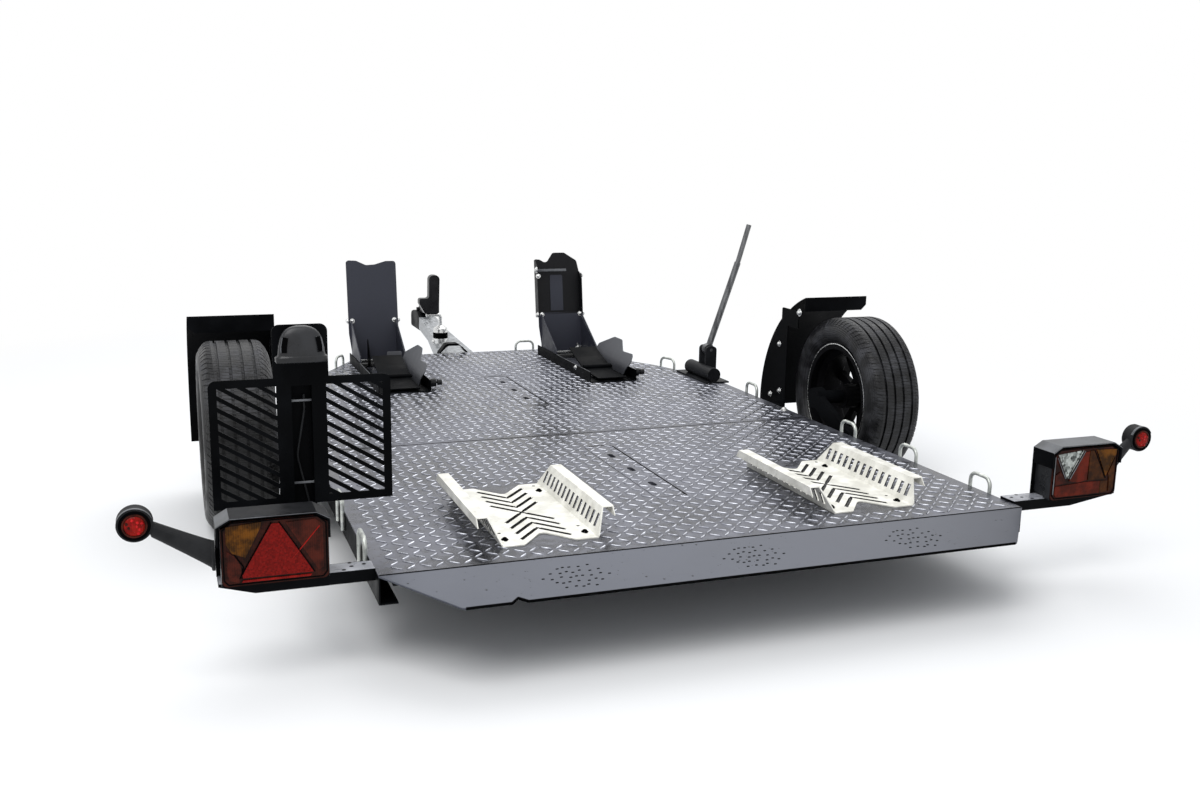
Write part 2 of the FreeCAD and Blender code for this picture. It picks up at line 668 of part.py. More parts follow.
def rear_lamps():
    # deck-level reference for everything on the lamp arm
    base_z = S.deck_height + S.lens_low
    gap = S.hood_gap
    wall = S.hood_sheet
    wide = S.lens_long + gap * 2
    high = S.lens_high + gap
    cut = S.hood_chamfer
    drop = S.hood_chamfer_high
    hood = new_body("hood", lens_x - gap, rear + S.lens_face - S.hood_proud, base_z)
    outer = new_sketch(hood, "XZ")
    draw(outer, [
        (-wall, -S.lamp_arm_high), (wide + wall, -S.lamp_arm_high), (wide + wall, high + wall - drop),
        (wide + wall - cut, high + wall), (cut - wall, high + wall), (-wall, high + wall - drop)])
    pad(hood, outer, S.hood_deep, back=True)
    inner = new_sketch(hood, "XZ")
    draw(inner, [
        (0, -S.lamp_arm_high - 1), (wide, -S.lamp_arm_high - 1), (wide, high - drop),
        (wide - cut, high), (cut, high), (0, high - drop)])
    pocket(hood, inner, S.hood_deep - wall)
    arm = block("lamp_arm", half_deck + S.side_clear, rear + S.lens_face - S.hood_proud + S.hood_deep - wall - S.lamp_arm_high,
                base_z - S.lamp_arm_high, lens_x - gap - half_deck - S.side_clear + S.lens_long,
                S.lamp_arm_high, wall)
    both_sides("lamp_hood", joined("lamp_hood_joined", [hood, arm]))

    lens = new_body("lens", lens_x, rear + S.lens_face, base_z)
    face = new_sketch(lens, "XZ")
    draw(face, [
        (0, 0, S.lens_round), (S.lens_long, 0, S.lens_round), (S.lens_long, S.lens_high - drop),
        (S.lens_long - cut, S.lens_high), (cut, S.lens_high), (0, S.lens_high - drop)])
    pad(lens, face, S.lens_deep, back=True)
    keep(together("tail_lamp_lenses", [lens, mirrored("lens_left", lens)]), "tail_lamp_lenses")

    inset = S.housing_inset
    housing = new_body("housing", lens_x + inset, rear + S.lens_face + S.lens_deep, base_z + inset)
    face = new_sketch(housing, "XZ")
    wide = S.lens_long - inset * 2
    high = S.lens_high - inset * 2
    draw(face, [(0, 0), (wide, 0), (wide, high - drop), (wide - cut, high), (cut, high), (0, high - drop)])
    pad(housing, face, S.hood_deep - wall - S.hood_proud - S.lens_deep, back=True)
    keep(together("tail_lamps", [housing, mirrored("housing_left", housing)]), "tail_lamps")

    # side markers on tapered rubber arms
    start_x = lens_x + S.lens_long + gap + wall + S.side_clear
    end_x = marker_x - S.marker_radius * 0.8
    start_z = base_z + S.lens_high * 0.5
    end_z = S.deck_height + S.marker_up - 10
    rise = end_z - start_z
    run = end_x - start_x
    cone = doc.addObject("Part::Cone", "marker_cone")
    bind(cone, "Radius1", S.arm_root_radius)
    bind(cone, "Radius2", S.arm_tip_radius)
    bind(cone, "Height", root(rise * rise + run * run))
    place(cone, start_x, rear + S.marker_station, start_z, (0, 1, 0), 90 - slope(rise, run))
    # the leaning cone is trimmed flat where it meets the lamp hood
    trim = block("marker_trim", start_x - S.arm_root_radius, rear + S.marker_station - S.arm_root_radius * 2,
                 start_z - S.arm_root_radius * 2, S.arm_root_radius, S.arm_root_radius * 4, S.arm_root_radius * 4)
    arm = cut_from("marker_cone_trimmed", cone, trim)
    ring = rod("marker_ring", marker_x, rear + S.marker_station - S.marker_deep / 2,
               S.deck_height + S.marker_up, S.marker_radius, S.marker_deep, "Y")
    root_pad = block("marker_root", start_x, rear + S.marker_station - S.marker_deep, start_z - S.arm_root_radius,
                     8, S.marker_deep * 1.6, S.arm_root_radius * 2)
    arm_all = joined("marker_arm_joined", [arm, ring, root_pad])
    keep(together("marker_arms", [arm_all, mirrored("marker_arm_left", arm_all)]), "marker_arms")
    back_lens = rod("marker_back", marker_x, rear, S.deck_height + S.marker_up, S.marker_lens, S.marker_lens_deep, "Y")
    place(back_lens, marker_x, rear + S.marker_station - S.marker_deep / 2 - S.marker_lens_deep,
          S.deck_height + S.marker_up, (1, 0, 0), -90)
    front_lens = rod("marker_front", marker_x, rear, S.deck_height, S.marker_lens, S.marker_lens_deep, "Y")
    place(front_lens, marker_x, rear + S.marker_station + S.marker_deep / 2, S.deck_height + S.marker_up, (1, 0, 0), -90)
    pair = [back_lens, front_lens]
    keep(together("marker_lenses", pair + [mirrored("marker_back_left", back_lens),
                                           mirrored("marker_front_left", front_lens)]), "marker_lenses")


def number_plate_holder():
    holder = new_body("number_plate_holder", -holder_x, rear + S.holder_station, S.deck_height)
    wide = S.holder_wide
    middle = wide / 2
    middle_x = middle - holder_x
    low = S.holder_low
    top = S.holder_high
    edge = S.holder_margin
    face = new_sketch(holder, "XZ")
    draw(face, [(0, low), (wide, low), (wide, top, S.holder_round), (0, top, S.holder_round)])
    pad(holder, face, S.holder_sheet, back=True)
    windows = new_sketch(holder, "XZ")
    high = top - low - edge * 2
    for near in (edge, wide - edge - S.window_wide):
        draw(windows, box_corners(near, low + edge, S.window_wide, high))
    pocket(holder, windows)
    back_plate = new_sketch(holder, "XZ")
    half = S.back_wide / 2
    draw(back_plate, [
        (middle - half, top - edge / 2), (middle + half, top - edge / 2),
        (middle + half, top + S.back_high, S.holder_round), (middle - half, top + S.back_high, S.holder_round)])
    pad(holder, back_plate, S.holder_sheet, back=True)

    # a folded channel behind the panels carries them on a foot
    post = S.post_wide / 2
    post_low = S.post_low
    shell = new_sketch(holder, "XZ")
    draw(shell, box_corners(middle - post, post_low, S.post_wide, top - post_low))
    pad(holder, shell, S.post_deep, back=True)
    channel = new_sketch(holder, "XZ", 1)
    wall = S.post_wall
    draw(channel, box_corners(middle - post + wall, post_low - 1, S.post_wide - wall * 2, top - edge - post_low))
    pocket(holder, channel, S.post_deep - wall + 1)
    foot_long = S.holder_station + S.post_deep - S.lens_face + S.hood_proud - S.hood_deep - S.side_clear
    foot = block("holder_foot", middle_x - post, rear + S.lens_face - S.hood_proud + S.hood_deep + S.side_clear,
                 S.deck_height - S.lamp_arm_high, S.post_wide, foot_long, S.post_foot)

    # slanted slats close both windows
    slats = new_body("holder_slats", -holder_x, rear + S.holder_station, S.deck_height)
    slat = new_sketch(slats, "XZ")
    fall = wide * tangent(S.slat_deg)
    draw(slat, [(0, low), (wide, low - fall), (wide, low - fall + S.slat), (0, low + S.slat)])
    first = pad(slats, slat, S.holder_sheet, back=True)
    in_line(slats, [first], "Z", S.slat_pitch, S.slat_count)
    panes = [block("window_%d" % number, near - holder_x - 1, rear + S.holder_station - 1, S.deck_height + low + edge - 1,
                   S.window_wide + 2, S.holder_sheet + 2, high + 2)
             for number, near in enumerate((edge, wide - edge - S.window_wide))]
    trimmed = doc.addObject("Part::Common", "holder_slats_trimmed")
    trimmed.Base = slats
    trimmed.Tool = joined("windows", panes)
    keep(joined("holder_joined", [holder, trimmed, foot]), "number_plate_holder")

    # the little lamp cable lies in the post's channel, clipped behind two bars
    cable_low = S.deck_height + post_low + S.post_foot + S.side_clear
    cable = new_body("plate_cable", middle_x, rear + S.holder_station + S.post_deep * 0.5, cable_low)
    reach = top - 40 - post_low - S.post_foot
    bent_bar(cable, "XZ", [(0, 0), (0, reach * 0.08), (12, reach * 0.3, 60), (-12, reach * 0.62, 60),
                           (6, reach * 0.9, 60), (6, reach)], S.cable_radius, "XY")
    keep(cable, "plate_cable")

    wide = S.plate_lamp_wide
    high = S.plate_lamp_high
    lamp = new_body("plate_lamp", middle_x, rear + S.holder_station - S.side_clear,
                    S.deck_height + top + S.plate_lamp_up)
    face = new_sketch(lamp, "XZ")
    draw(face, [
        (-wide / 2, 0, 6), (wide / 2, 0, 6), (wide / 2, high * 0.5, 14), (wide * 0.36, high, 20),
        (-wide * 0.36, high, 20), (-wide / 2, high * 0.5, 14)])
    pad(lamp, face, S.plate_lamp_deep)
    keep(lamp, "plate_lamp")


def wheel_cradle(name, x):
    # a folded plate for the rear wheel, slotted in its base and in the wings along both sides
    cradle = new_body(name, x, rear + S.cradle_station, S.deck_height)
    half = S.cradle_wide / 2
    long_ = S.cradle_long
    gauge = S.cradle_sheet
    notch = S.cradle_notch
    mouth = S.cradle_notch_half
    plan = new_sketch(cradle, "XY")
    draw(plan, [
        (-half, 0), (-mouth, 0, 8), (0, notch, 14), (mouth, 0, 8), (half, 0), (half, long_), (mouth, long_, 8),
        (0, long_ - notch, 14), (-mouth, long_, 8), (-half, long_)])
    pad(cradle, plan, gauge)

    # two crossed slots in the middle and three chevrons beyond them on each side
    middle = long_ / 2
    wide = S.cradle_slot_half
    rise = S.cradle_slot_rise
    slot = S.cradle_slot
    for way in (-1, 1):
        cross = new_sketch(cradle, "XY")
        draw(cross, [
            (-wide, middle - way * rise - slot / 2), (wide, middle + way * rise - slot / 2),
            (wide, middle + way * rise + slot / 2), (-wide, middle - way * rise + slot / 2)])
        pocket(cradle, cross)
    chevrons = new_sketch(cradle, "XY")
    for way in (-1, 1):
        for number in (1, 2, 3):
            tip = middle + way * S.cradle_slot_pitch * number - slot / 2
            draw(chevrons, [
                (-wide, tip + way * rise), (0, tip), (wide, tip + way * rise), (wide, tip + way * rise + slot),
                (0, tip + slot), (-wide, tip + way * rise + slot)])
    pocket(cradle, chevrons)
    holes = new_sketch(cradle, "XY")
    hole = S.cradle_hole
    for side_ in (-1, 1):
        for start in (S.cradle_hole_first, S.cradle_hole_last):
            centre = side_ * S.cradle_hole_x
            draw(holes, box_corners(centre - hole, start - S.cradle_hole_long / 2, hole * 2, S.cradle_hole_long,
                                    hole * 0.95))
            draw_circle(holes, centre, start + S.cradle_hole_next, hole)
    pocket(cradle, holes)

    # wings lean outward and end in a folded lip
    up = S.wing_up
    out = half + S.wing_out
    lip = out + S.wing_lip
    slant = gauge * 1.1
    for side_ in (-1, 1):
        wing = new_sketch(cradle, "XZ")
        draw(wing, [
            (side_ * (half - slant), 0), (side_ * half, 0), (side_ * out, up - gauge),
            (side_ * (lip - gauge), up - gauge), (side_ * (lip - gauge), up - S.wing_lip_drop),
            (side_ * lip, up - S.wing_lip_drop), (side_ * lip, up), (side_ * (out - slant), up)])
        pad(cradle, wing, long_, back=True)
    ends = new_sketch(cradle, "YZ")
    foot = gauge * 2
    draw(ends, [(-1, foot), (S.wing_slant, up + 1), (-1, up + 1)])
    draw(ends, [(long_ + 1, foot), (long_ + 1, up + 1), (long_ - S.wing_slant, up + 1)])
    pocket(cradle, ends)
    opening = new_sketch(cradle, "YZ")
    first = middle - S.wing_slot_pitch * (S.wing_slots - 1) / 2 - S.wing_slot_wide / 2
    draw(opening, box_corners(first, S.wing_slot_low, S.wing_slot_wide, S.wing_slot_high))
    slot = pocket(cradle, opening, (out + gauge) * 2, symmetric=True)
    in_line(cradle, [slot], "Y", S.wing_slot_pitch, S.wing_slots)
    keep(cradle, name)


def chock_base(name, x, back_y):
    # a flat floor between two low rails, open in the middle
    half = S.chock_wide / 2
    gauge = S.chock_sheet
    rail = S.chock_rail
    long_ = S.chock_long
    border = S.chock_border
    base = new_body(name, x, back_y, S.deck_height)
    section = new_sketch(base, "XZ")
    draw(section, [
        (-half, 0), (half, 0), (half, rail), (half - gauge, rail), (half - gauge, gauge),
        (-half + gauge, gauge), (-half + gauge, rail), (-half, rail)])
    pad(base, section, long_, back=True)
    window = new_sketch(base, "XY")
    draw(window, box_corners(-half + border, S.window_start, S.chock_wide - border * 2,
                             long_ - S.window_start - S.window_end, S.hatch_round))
    pocket(base, window)
    pivot_hole = new_sketch(base, "YZ")
    draw_circle(pivot_hole, S.rocker_pivot, S.rocker_pivot_up, S.rocker_pin + S.running_gap)
    pocket(base, pivot_hole)
    keep(base, name)


def gussets(upright, inner):
    # triangular side plates behind the upright, level with the floor although the upright leans
    fall = S.gusset_long * tangent(S.upright_lean)
    for offset in (-inner, inner - S.chock_sheet):
        gusset = new_sketch(upright, "YZ", offset)
        draw(gusset, [
            (S.chock_sheet, 3), (S.chock_sheet, S.gusset_high), (-12, S.gusset_high, 10),
            (-S.gusset_long, 55 - fall, 10), (-S.gusset_long, 4 - fall)])
        pad(upright, gusset, S.chock_sheet)


def plain_upright(upright, inner):
    # a leaning plate, as wide as the floor at its foot, with a shallow dip in its top edge
    head = S.upright_half
    high = S.upright_high
    plan = new_sketch(upright, "XZ")
    draw(plan, [
        (-inner, 3), (inner, 3), (inner, 50), (head, 120, 40), (head, high - 5, 12), (58, high - 5, 14),
        (14, high - 18, 30), (-20, high - 20, 20), (-58, high - 2, 20), (-head, high, 12), (-head, 120, 40), (-inner, 50)])
    pad(upright, plan, S.chock_sheet, back=True)


def stepped_upright(upright, inner):
    # the plate stops halfway, and a channel set back between two flanges goes on to the top
    head = S.upright_half
    high = S.upright_high
    gauge = S.chock_sheet
    step = S.upright_step
    recess = S.upright_recess
    plan = new_sketch(upright, "XZ")
    draw(plan, [
        (-inner, 3), (inner, 3), (inner, 50), (head, 120, 40), (head, step), (-head, step - 8),
        (-head, 120, 40), (-inner, 50)])
    pad(upright, plan, gauge, back=True)
    back_plate = new_sketch(upright, "XZ", -recess)
    draw(back_plate, [
        (-head, step - 12), (head, step - 12), (head, high - 60), (head - 10, high - 14, 16),
        (34, high + 20, 14), (-16, high + 20, 14), (-46, high - 24, 16), (-74, high - 8, 8), (-head, high - 6, 8)])
    pad(upright, back_plate, gauge, back=True)
    shelf = new_sketch(upright, "XY", step - 12)
    draw(shelf, box_corners(-head, 0, head * 2, recess + gauge))
    pad(upright, shelf, gauge)
    for offset, top in ((-head, high - 10), (head - gauge, high - 60)):
        flange = new_sketch(upright, "YZ", offset)
        draw(flange, [(0, step - 20), (recess + gauge, step - 20), (recess + gauge, top), (recess - 8, top, 6), (0, top - 30)])
        pad(upright, flange, gauge)


def chock_rocker(name, x, back_y):
    # a bent plate that tips on a pin through both rails
    rocker = new_body(name, x, back_y + S.rocker_pivot, S.deck_height + S.rocker_pivot_up)
    reach = S.rocker_half
    path = new_sketch(rocker, "YZ")
    draw(path, [
        (-reach, -16), (-20, -14, 40), (100, 20, 80), (reach, 46), (reach - 2, 50), (95, 24, 80),
        (-24, -9, 40), (-reach, -12)])
    pad(rocker, path, S.rocker_wide, symmetric=True)
    pin = new_sketch(rocker, "YZ")
    draw_circle(pin, 0, 0, S.rocker_pin)
    pad(rocker, pin, S.chock_wide + 4, symmetric=True)
    sleeve = new_sketch(rocker, "YZ")
    draw_circle(sleeve, 0, 0, S.rocker_sleeve)
    pad(rocker, sleeve, S.rocker_wide, symmetric=True)
    keep(rocker, name)


def guide_wing(name, x, back_y):
    # a sheet beside the rocker, flared outward and cut to two humps
    gauge = S.chock_sheet
    high = S.wing_high
    near = S.wing_x
    flare = S.wing_flare
    long_ = S.chock_long / 2
    shell = new_body(name + "_shell", x, back_y, S.deck_height + gauge)
    section = new_sketch(shell, "XZ")
    draw(section, [
        (near, 0), (near + gauge, 0), (near + gauge, high * 0.34, 60), (near + gauge + flare, high + 4),
        (near + flare, high + 4), (near, high * 0.34 + 1, 63)])
    pad(shell, section, long_ + 60, back=True)
    region = new_body(name + "_region", x, back_y, S.deck_height)
    humps = new_sketch(region, "YZ")
    draw(humps, [
        (70, 0), (4, 66, 14), (20, 96, 20), (120, 92, 30), (170, high, 26), (250, high, 40), (long_ + 50, 84, 14),
        (long_ + 50, 40), (long_, 0)])
    pad(region, humps, S.chock_wide * 2, symmetric=True)
    wing = doc.addObject("Part::Common", name + "_trimmed")
    wing.Base = shell
    wing.Tool = region
    pin_way = rod(name + "_pin_way", x, back_y + S.rocker_pivot, S.deck_height + S.rocker_pivot_up,
                  S.rocker_pin + S.running_gap, S.chock_wide, "X")
    keep(cut_from(name + "_cut", wing, pin_way), name)


def chock_knob(name, x, back_y):
    # a hand screw on the outside of the right rail
    start = x + S.chock_wide / 2 + S.side_clear
    y = back_y + S.knob_station
    z = S.deck_height + S.knob_up
    radius = S.knob_radius
    knob = rod(name, start, y, z, radius, S.knob_long, "X")
    bar = rod(name + "_bar", start, y, z, radius / 3, S.knob_long + radius, "X")
    end = rod(name + "_end", start + S.knob_long + radius / 2, y, z, radius * 0.7, radius, "X")
    return joined(name + "_joined", [knob, bar, end])


def wheel_chocks():
    back_y = rear + S.chock_station
    knobs = []
    for side_name, x, shape in (("left", -S.chock_left_x, plain_upright), ("right", S.chock_right_x, stepped_upright)):
        chock_base("chock_base_" + side_name, x, back_y)
        inner = S.chock_wide / 2 - S.chock_sheet - S.side_clear
        upright = new_body("chock_upright_" + side_name, x, back_y + S.upright_foot,
                           S.deck_height + S.chock_sheet, (1, 0, 0), -S.upright_lean)
        shape(upright, inner)
        gussets(upright, inner)
        keep(upright, "chock_upright_" + side_name)
        chock_rocker("chock_rocker_" + side_name, x, back_y)
        guide_wing("chock_wings_" + side_name, x, back_y)
        knobs.append(chock_knob("chock_knob_" + side_name, x, back_y))
    keep(together("chock_knobs", knobs), "chock_knobs")


def drawbar():
    # the beam rises forward, so it is drawn on a plane tilted with it
    run = S.drawbar_end - S.drawbar_start
    rise = S.drawbar_rise + S.drawbar_low
    beam = new_body("drawbar_beam", 0, rear + S.drawbar_start, S.deck_height - S.drawbar_low, (1, 0, 0), slope(rise, run))
    long_ = root(run * run + rise * rise)
    half = S.drawbar_wide / 2
    tip = S.drawbar_tip_wide / 2
    plan = new_sketch(beam, "XY")
    draw(plan, [
        (half, 0), (half, S.drawbar_parallel), (tip, S.drawbar_neck), (tip, long_), (-tip, long_),
        (-tip, S.drawbar_neck), (-half, S.drawbar_parallel), (-half, 0)])
    pad(beam, plan, S.drawbar_high, back=True)
    way = rod("jockey_way", -S.jockey_x, rear + S.jockey_station, S.deck_height - S.drawbar_high * 2,
              S.jockey_tube + S.side_clear, S.drawbar_high * 4)
    seat = rod("jockey_seat", -S.jockey_x, rear + S.jockey_station, S.deck_height + S.jockey_cup_low - S.side_clear,
               S.jockey_cup + S.side_clear, S.drawbar_high * 2)
    beam_cut = cut_from("drawbar_cut", beam, joined("jockey_ways", [way, seat]))
    keep(beam_cut, "drawbar")

    # black hinge plates on both sides of the beam, and the bolted bridge over its foot
    inner = half + S.side_clear
    wall = S.hinge_plate
    sides = new_body("hinge_sides", 0, rear + S.hinge_start, S.deck_height - S.hinge_low)
    plan = new_sketch(sides, "XY")
    draw(plan, [
        (-inner - wall, 0), (inner + wall, 0), (inner + wall, S.hinge_long), (inner, S.hinge_long), (inner, wall),
        (-inner, wall), (-inner, S.hinge_long), (-inner - wall, S.hinge_long)])
    pad(sides, plan, S.hinge_high)
    bridge = new_body("hinge_bridge", 0, rear + S.front_station + S.side_clear, S.deck_height - S.drawbar_low)
    face = new_sketch(bridge, "XZ")
    top = S.drawbar_low + S.clamp_high
    draw(face, [
        (-inner - wall, -20), (-inner, -20), (-inner, S.drawbar_low), (-inner + 30, top - 10, 20), (10, top - 10, 20),
        (40, S.drawbar_low), (30, S.drawbar_low), (0, top, 24), (-inner + 24, top, 24), (-inner - wall, S.drawbar_low)])
    pad(bridge, face, S.clamp_high, back=True)
    keep(together("drawbar_bracket", [sides, bridge]), "drawbar_bracket")


def coupling():
    head = new_body("coupling_head", 0, rear + S.drawbar_end + S.side_clear, S.deck_height)
    side = new_sketch(head, "YZ")
    rise = S.drawbar_rise
    high = S.head_high
    nose = S.nose_station - S.drawbar_end - S.side_clear
    lean = high * tangent(slope(S.drawbar_rise + S.drawbar_low, S.drawbar_end - S.drawbar_start))
    draw(side, [
        (lean, rise - high), (nose - 70, rise - high), (nose, rise - high, 14), (nose, rise + 4, 30),
        (nose - 60, rise + 18, 20), (60, rise + 18, 10), (20, rise, 10), (0, rise)])
    pad(head, side, S.head_wide, symmetric=True)
    socket = new_sketch(head, "XY", rise - high - 1)
    draw_circle(socket, 0, nose - 40, S.ball_radius + S.socket_gap)
    pocket(head, socket, S.ball_radius * 2 - 6, back=True)
    # two ears on top carry the handle's pin
    pivot = S.handle_pivot - S.side_clear
    near = S.handle_wide / 2 + S.handle_gap
    reach = S.handle_pin * 2
    for offset in (near, -near - S.handle_ear):
        ear = new_sketch(head, "YZ", offset)
        draw(ear, [
            (pivot - reach, rise + reach), (pivot + reach, rise + reach),
            (pivot + reach, rise + S.handle_up + reach, reach * 0.9),
            (pivot - reach, rise + S.handle_up + reach, reach * 0.9)])
        pad(head, ear, S.handle_ear)
    bore = new_sketch(head, "YZ")
    draw_circle(bore, pivot, rise + S.handle_up, S.handle_pin + S.running_gap)
    pocket(head, bore)
    keep(head, "coupling_head")
    handle = new_body("coupling_handle", 0, rear + S.drawbar_end + S.handle_pivot, S.deck_height + rise + S.handle_up)
    side = new_sketch(handle, "YZ")
    draw(side, [
        (-98, -4, 4), (-40, -4, 20), (-10, -6, 4), (6, -6, 5.5), (6, 6, 5.5), (-4, 12, 4), (-30, 26, 20), (-98, 34, 8)])
    pad(handle, side, S.handle_wide, symmetric=True)
    pin = new_sketch(handle, "YZ")
    draw_circle(pin, 0, 0, S.handle_pin)
    pad(handle, pin, (near + S.handle_ear) * 2, symmetric=True)
    keep(handle, "coupling_handle")


def jockey_wheel():
    x = -S.jockey_x
    y = rear + S.jockey_station
    radius = (S.deck_height - S.jockey_room) / 2
    wheel = rod("jockey_tread", x - S.jockey_wheel_wide / 2, y, radius, radius, S.jockey_wheel_wide, "X")
    bore = rod("jockey_bore", x - S.jockey_wheel_wide, y, radius, S.hub_bolt + S.running_gap, S.jockey_wheel_wide * 2, "X")
    keep(cut_from("jockey_wheel_cut", wheel, bore), "jockey_wheel")
    gap = S.fork_gap
    wall = S.fork_sheet
    half = S.jockey_wheel_wide / 2 + gap
    crown = radius * 2 + gap * 2
    fork = new_body("fork_legs", x, y, 0)
    face = new_sketch(fork, "XZ")
    draw(face, [
        (-half - wall, radius - 16), (-half, radius - 16), (-half, crown), (half, crown), (half, radius - 16),
        (half + wall, radius - 16), (half + wall, crown + wall), (-half - wall, crown + wall)])
    pad(fork, face, S.fork_wide, symmetric=True)
    bolt = rod("fork_bolt", x - half - wall, y, radius, S.hub_bolt, (half + wall) * 2, "X")
    stem_top = S.deck_height + S.jockey_cup_high
    stem = rod("fork_stem", x, y, crown + 1, S.jockey_stem, stem_top - crown - 8)
    keep(joined("fork_joined", [fork, bolt, stem]), "jockey_fork")

    bore = S.jockey_stem + S.side_clear
    tube = rod("jockey_outer", x, y, S.jockey_low, S.jockey_tube, stem_top - S.jockey_low - S.side_clear)
    hollow = rod("jockey_hollow", x, y, S.jockey_low - 1, bore, stem_top)
    keep(cut_from("jockey_tube_cut", tube, hollow), "jockey_tube")

    cup_low = S.deck_height + S.jockey_cup_low
    cup = new_body("jockey_collar", x, y, cup_low)
    half_section = new_sketch(cup, "XZ")
    top = S.jockey_cup_high - S.jockey_cup_low
    hole = S.crank_rod + S.running_gap
    reach = S.jockey_cup
    inner = S.jockey_tube + S.side_clear
    draw(half_section, [
        (inner, 0), (reach - 3, 0), (reach, 6), (reach, top * 0.72), (reach - 3, top * 0.74), (reach, top * 0.8),
        (reach - 2, top + 4, 4), (hole + 4, top + 16), (hole, top + 16), (hole, top), (inner, top)])
    turned(cup, half_section, axis="V_Axis")
    keep(cup, "jockey_collar")

    rod_up = new_body("jockey_crank", x, y, stem_top)
    path_up = S.crank_up - S.jockey_cup_high
    bent_bar(rod_up, "XZ", [(0, 0), (0, path_up, 14), (-S.crank_reach, path_up)], S.crank_rod, "XY")
    keep(rod_up, "jockey_crank")
    grip_x = x - S.crank_reach * 0.62
    low = S.crank_up + S.crank_rod + S.side_clear
    grip = new_body("jockey_grip", grip_x, y, S.deck_height)
    face = new_sketch(grip, "XZ")
    wide = S.grip_radius
    draw(face, [
        (-wide - 10, low, 6), (wide + 8, low, 6), (wide + 8, low + 30, 10), (wide + 12, S.grip_high, 20),
        (-wide + 10, S.grip_high, 20), (-wide + 8, low + 66, 10), (-wide - 34, low + 66, 10), (-wide - 34, low + 44, 10)])
    pad(grip, face, wide * 1.7, symmetric=True)
    keep(grip, "jockey_grip")


def hand_pump():
    x = half_deck - S.pump_in
    lever_x = half_deck - S.lever_in
    y = rear + S.pump_station
    deck = S.deck_height
    plate = block("pump_plate", x - S.pump_base_wide / 2, y - S.pump_base_long / 2, deck, S.pump_base_wide,
                  S.pump_base_long, S.pump_plate)
    barrel_z = deck + S.pump_plate + S.pump_radius - 2
    barrel = rod("pump_barrel", x - 10, y - S.pump_base_long / 2 + 10, barrel_z, S.pump_radius, S.pump_long, "Y")
    items = [plate, barrel]
    lever_y = rear + S.lever_station
    inner = S.ear_thick + S.ear_gap
    for side_ in (-1, 1):
        near = lever_y + S.ear_gap + S.boss_half if side_ > 0 else lever_y - inner - S.boss_half
        ear = new_body("pump_ear_%d" % (side_ + 1), lever_x, near, deck + S.pump_plate)
        face = new_sketch(ear, "XZ")
        half = S.ear_wide / 2
        up = S.lever_pivot_up - S.pump_plate
        draw(face, [(-half, -1), (half, -1), (half, up + half * 0.6, 14), (-half, up + half * 0.6, 14)])
        pad(ear, face, S.ear_thick, back=True)
        hole = new_sketch(ear, "XZ")
        draw_circle(hole, 0, up, S.lever_pin + S.running_gap)
        pocket(ear, hole)
        items.append(ear)
    keep(joined("pump_joined", items), "pump_body")

    pivot_up = deck + S.lever_pivot_up
    lever = new_body("lever_bar", lever_x, lever_y, pivot_up, (0, 1, 0), S.lever_lean)
    bent_bar(lever, "XZ", [(0, 0), (0, S.lever_low, S.lever_bend), (-S.lever_bow, S.lever_long)], S.lever_radius, "XY")
    sleeve = new_sketch(lever, "XY", S.lever_boss * 0.5)
    draw_circle(sleeve, 0, 0, S.lever_sleeve)
    pad(lever, sleeve, S.lever_low - S.lever_boss)
    boss = rod("lever_boss", lever_x, lever_y - S.boss_half, pivot_up, S.lever_boss, S.boss_half * 2, "Y")
    reach = S.boss_half + inner
    pin = rod("lever_pin", lever_x, lever_y - reach, pivot_up, S.lever_pin, reach * 2, "Y")
    keep(joined("lever_joined", [lever, boss, pin]), "pump_lever")


def loop(name, x, y, axis=None, angle=0):
    # a round bar bent to a staple, its legs against the edge of the deck
    bar = new_body(name, x, y, S.deck_height - S.loop_leg, axis, angle)
    span = S.loop_wide - S.loop_bar * 2
    top = S.loop_leg + S.loop_up - S.loop_bar
    bent_bar(bar, "YZ", [(0, 0), (0, top, S.loop_round), (span, top, S.loop_round), (span, 0)], S.loop_bar, "XY")
    return bar


def loops():
    up = (0, 0, 1)
    span = S.loop_wide - S.loop_bar * 2
    stand_off = S.loop_bar + S.side_clear
    bars = []
    for number, station in enumerate([S.loop_first, S.loop_second, S.loop_third, S.loop_fourth]):
        bars.append(loop("loop_%d" % number, half_deck + stand_off, rear + station - span / 2))
    # two more stand on each slanted edge
    first = slope(half_deck - S.knee_half, S.knee_station - S.taper_station)
    second = slope(S.knee_half - S.front_half, S.front_station - S.knee_station)
    for name, station, lean, start_x, start in (
            ("loop_shoulder", S.loop_shoulder, first, half_deck, S.taper_station),
            ("loop_neck", S.loop_neck, second, S.knee_half, S.knee_station)):
        back = term(station) - cosine(lean) * span / 2
        edge = start_x - (back - start) * tangent(lean) + stand_off / cosine(lean)
        bars.append(loop(name, edge, rear + back, up, lean))
    bars.append(loop("loop_nose", S.loop_nose_x + span / 2, rear + S.front_station + stand_off, up, 90))
    both = bars + [mirrored(bar.Name + "_left", bar) for bar in bars]
    keep(together("tie_down_loops", both), "tie_down_loops")


deck_plates()
hatches()
side_rails()
crossmembers()
loading_lip()
swing_axle()
wheels()
fenders()
rear_lamps()
number_plate_holder()
wheel_cradle("wheel_cradle_left", -S.cradle_left_x)
wheel_cradle("wheel_cradle_right", S.cradle_right_x)
wheel_chocks()
drawbar()
coupling()
jockey_wheel()
hand_pump()
loops()
doc.recompute()

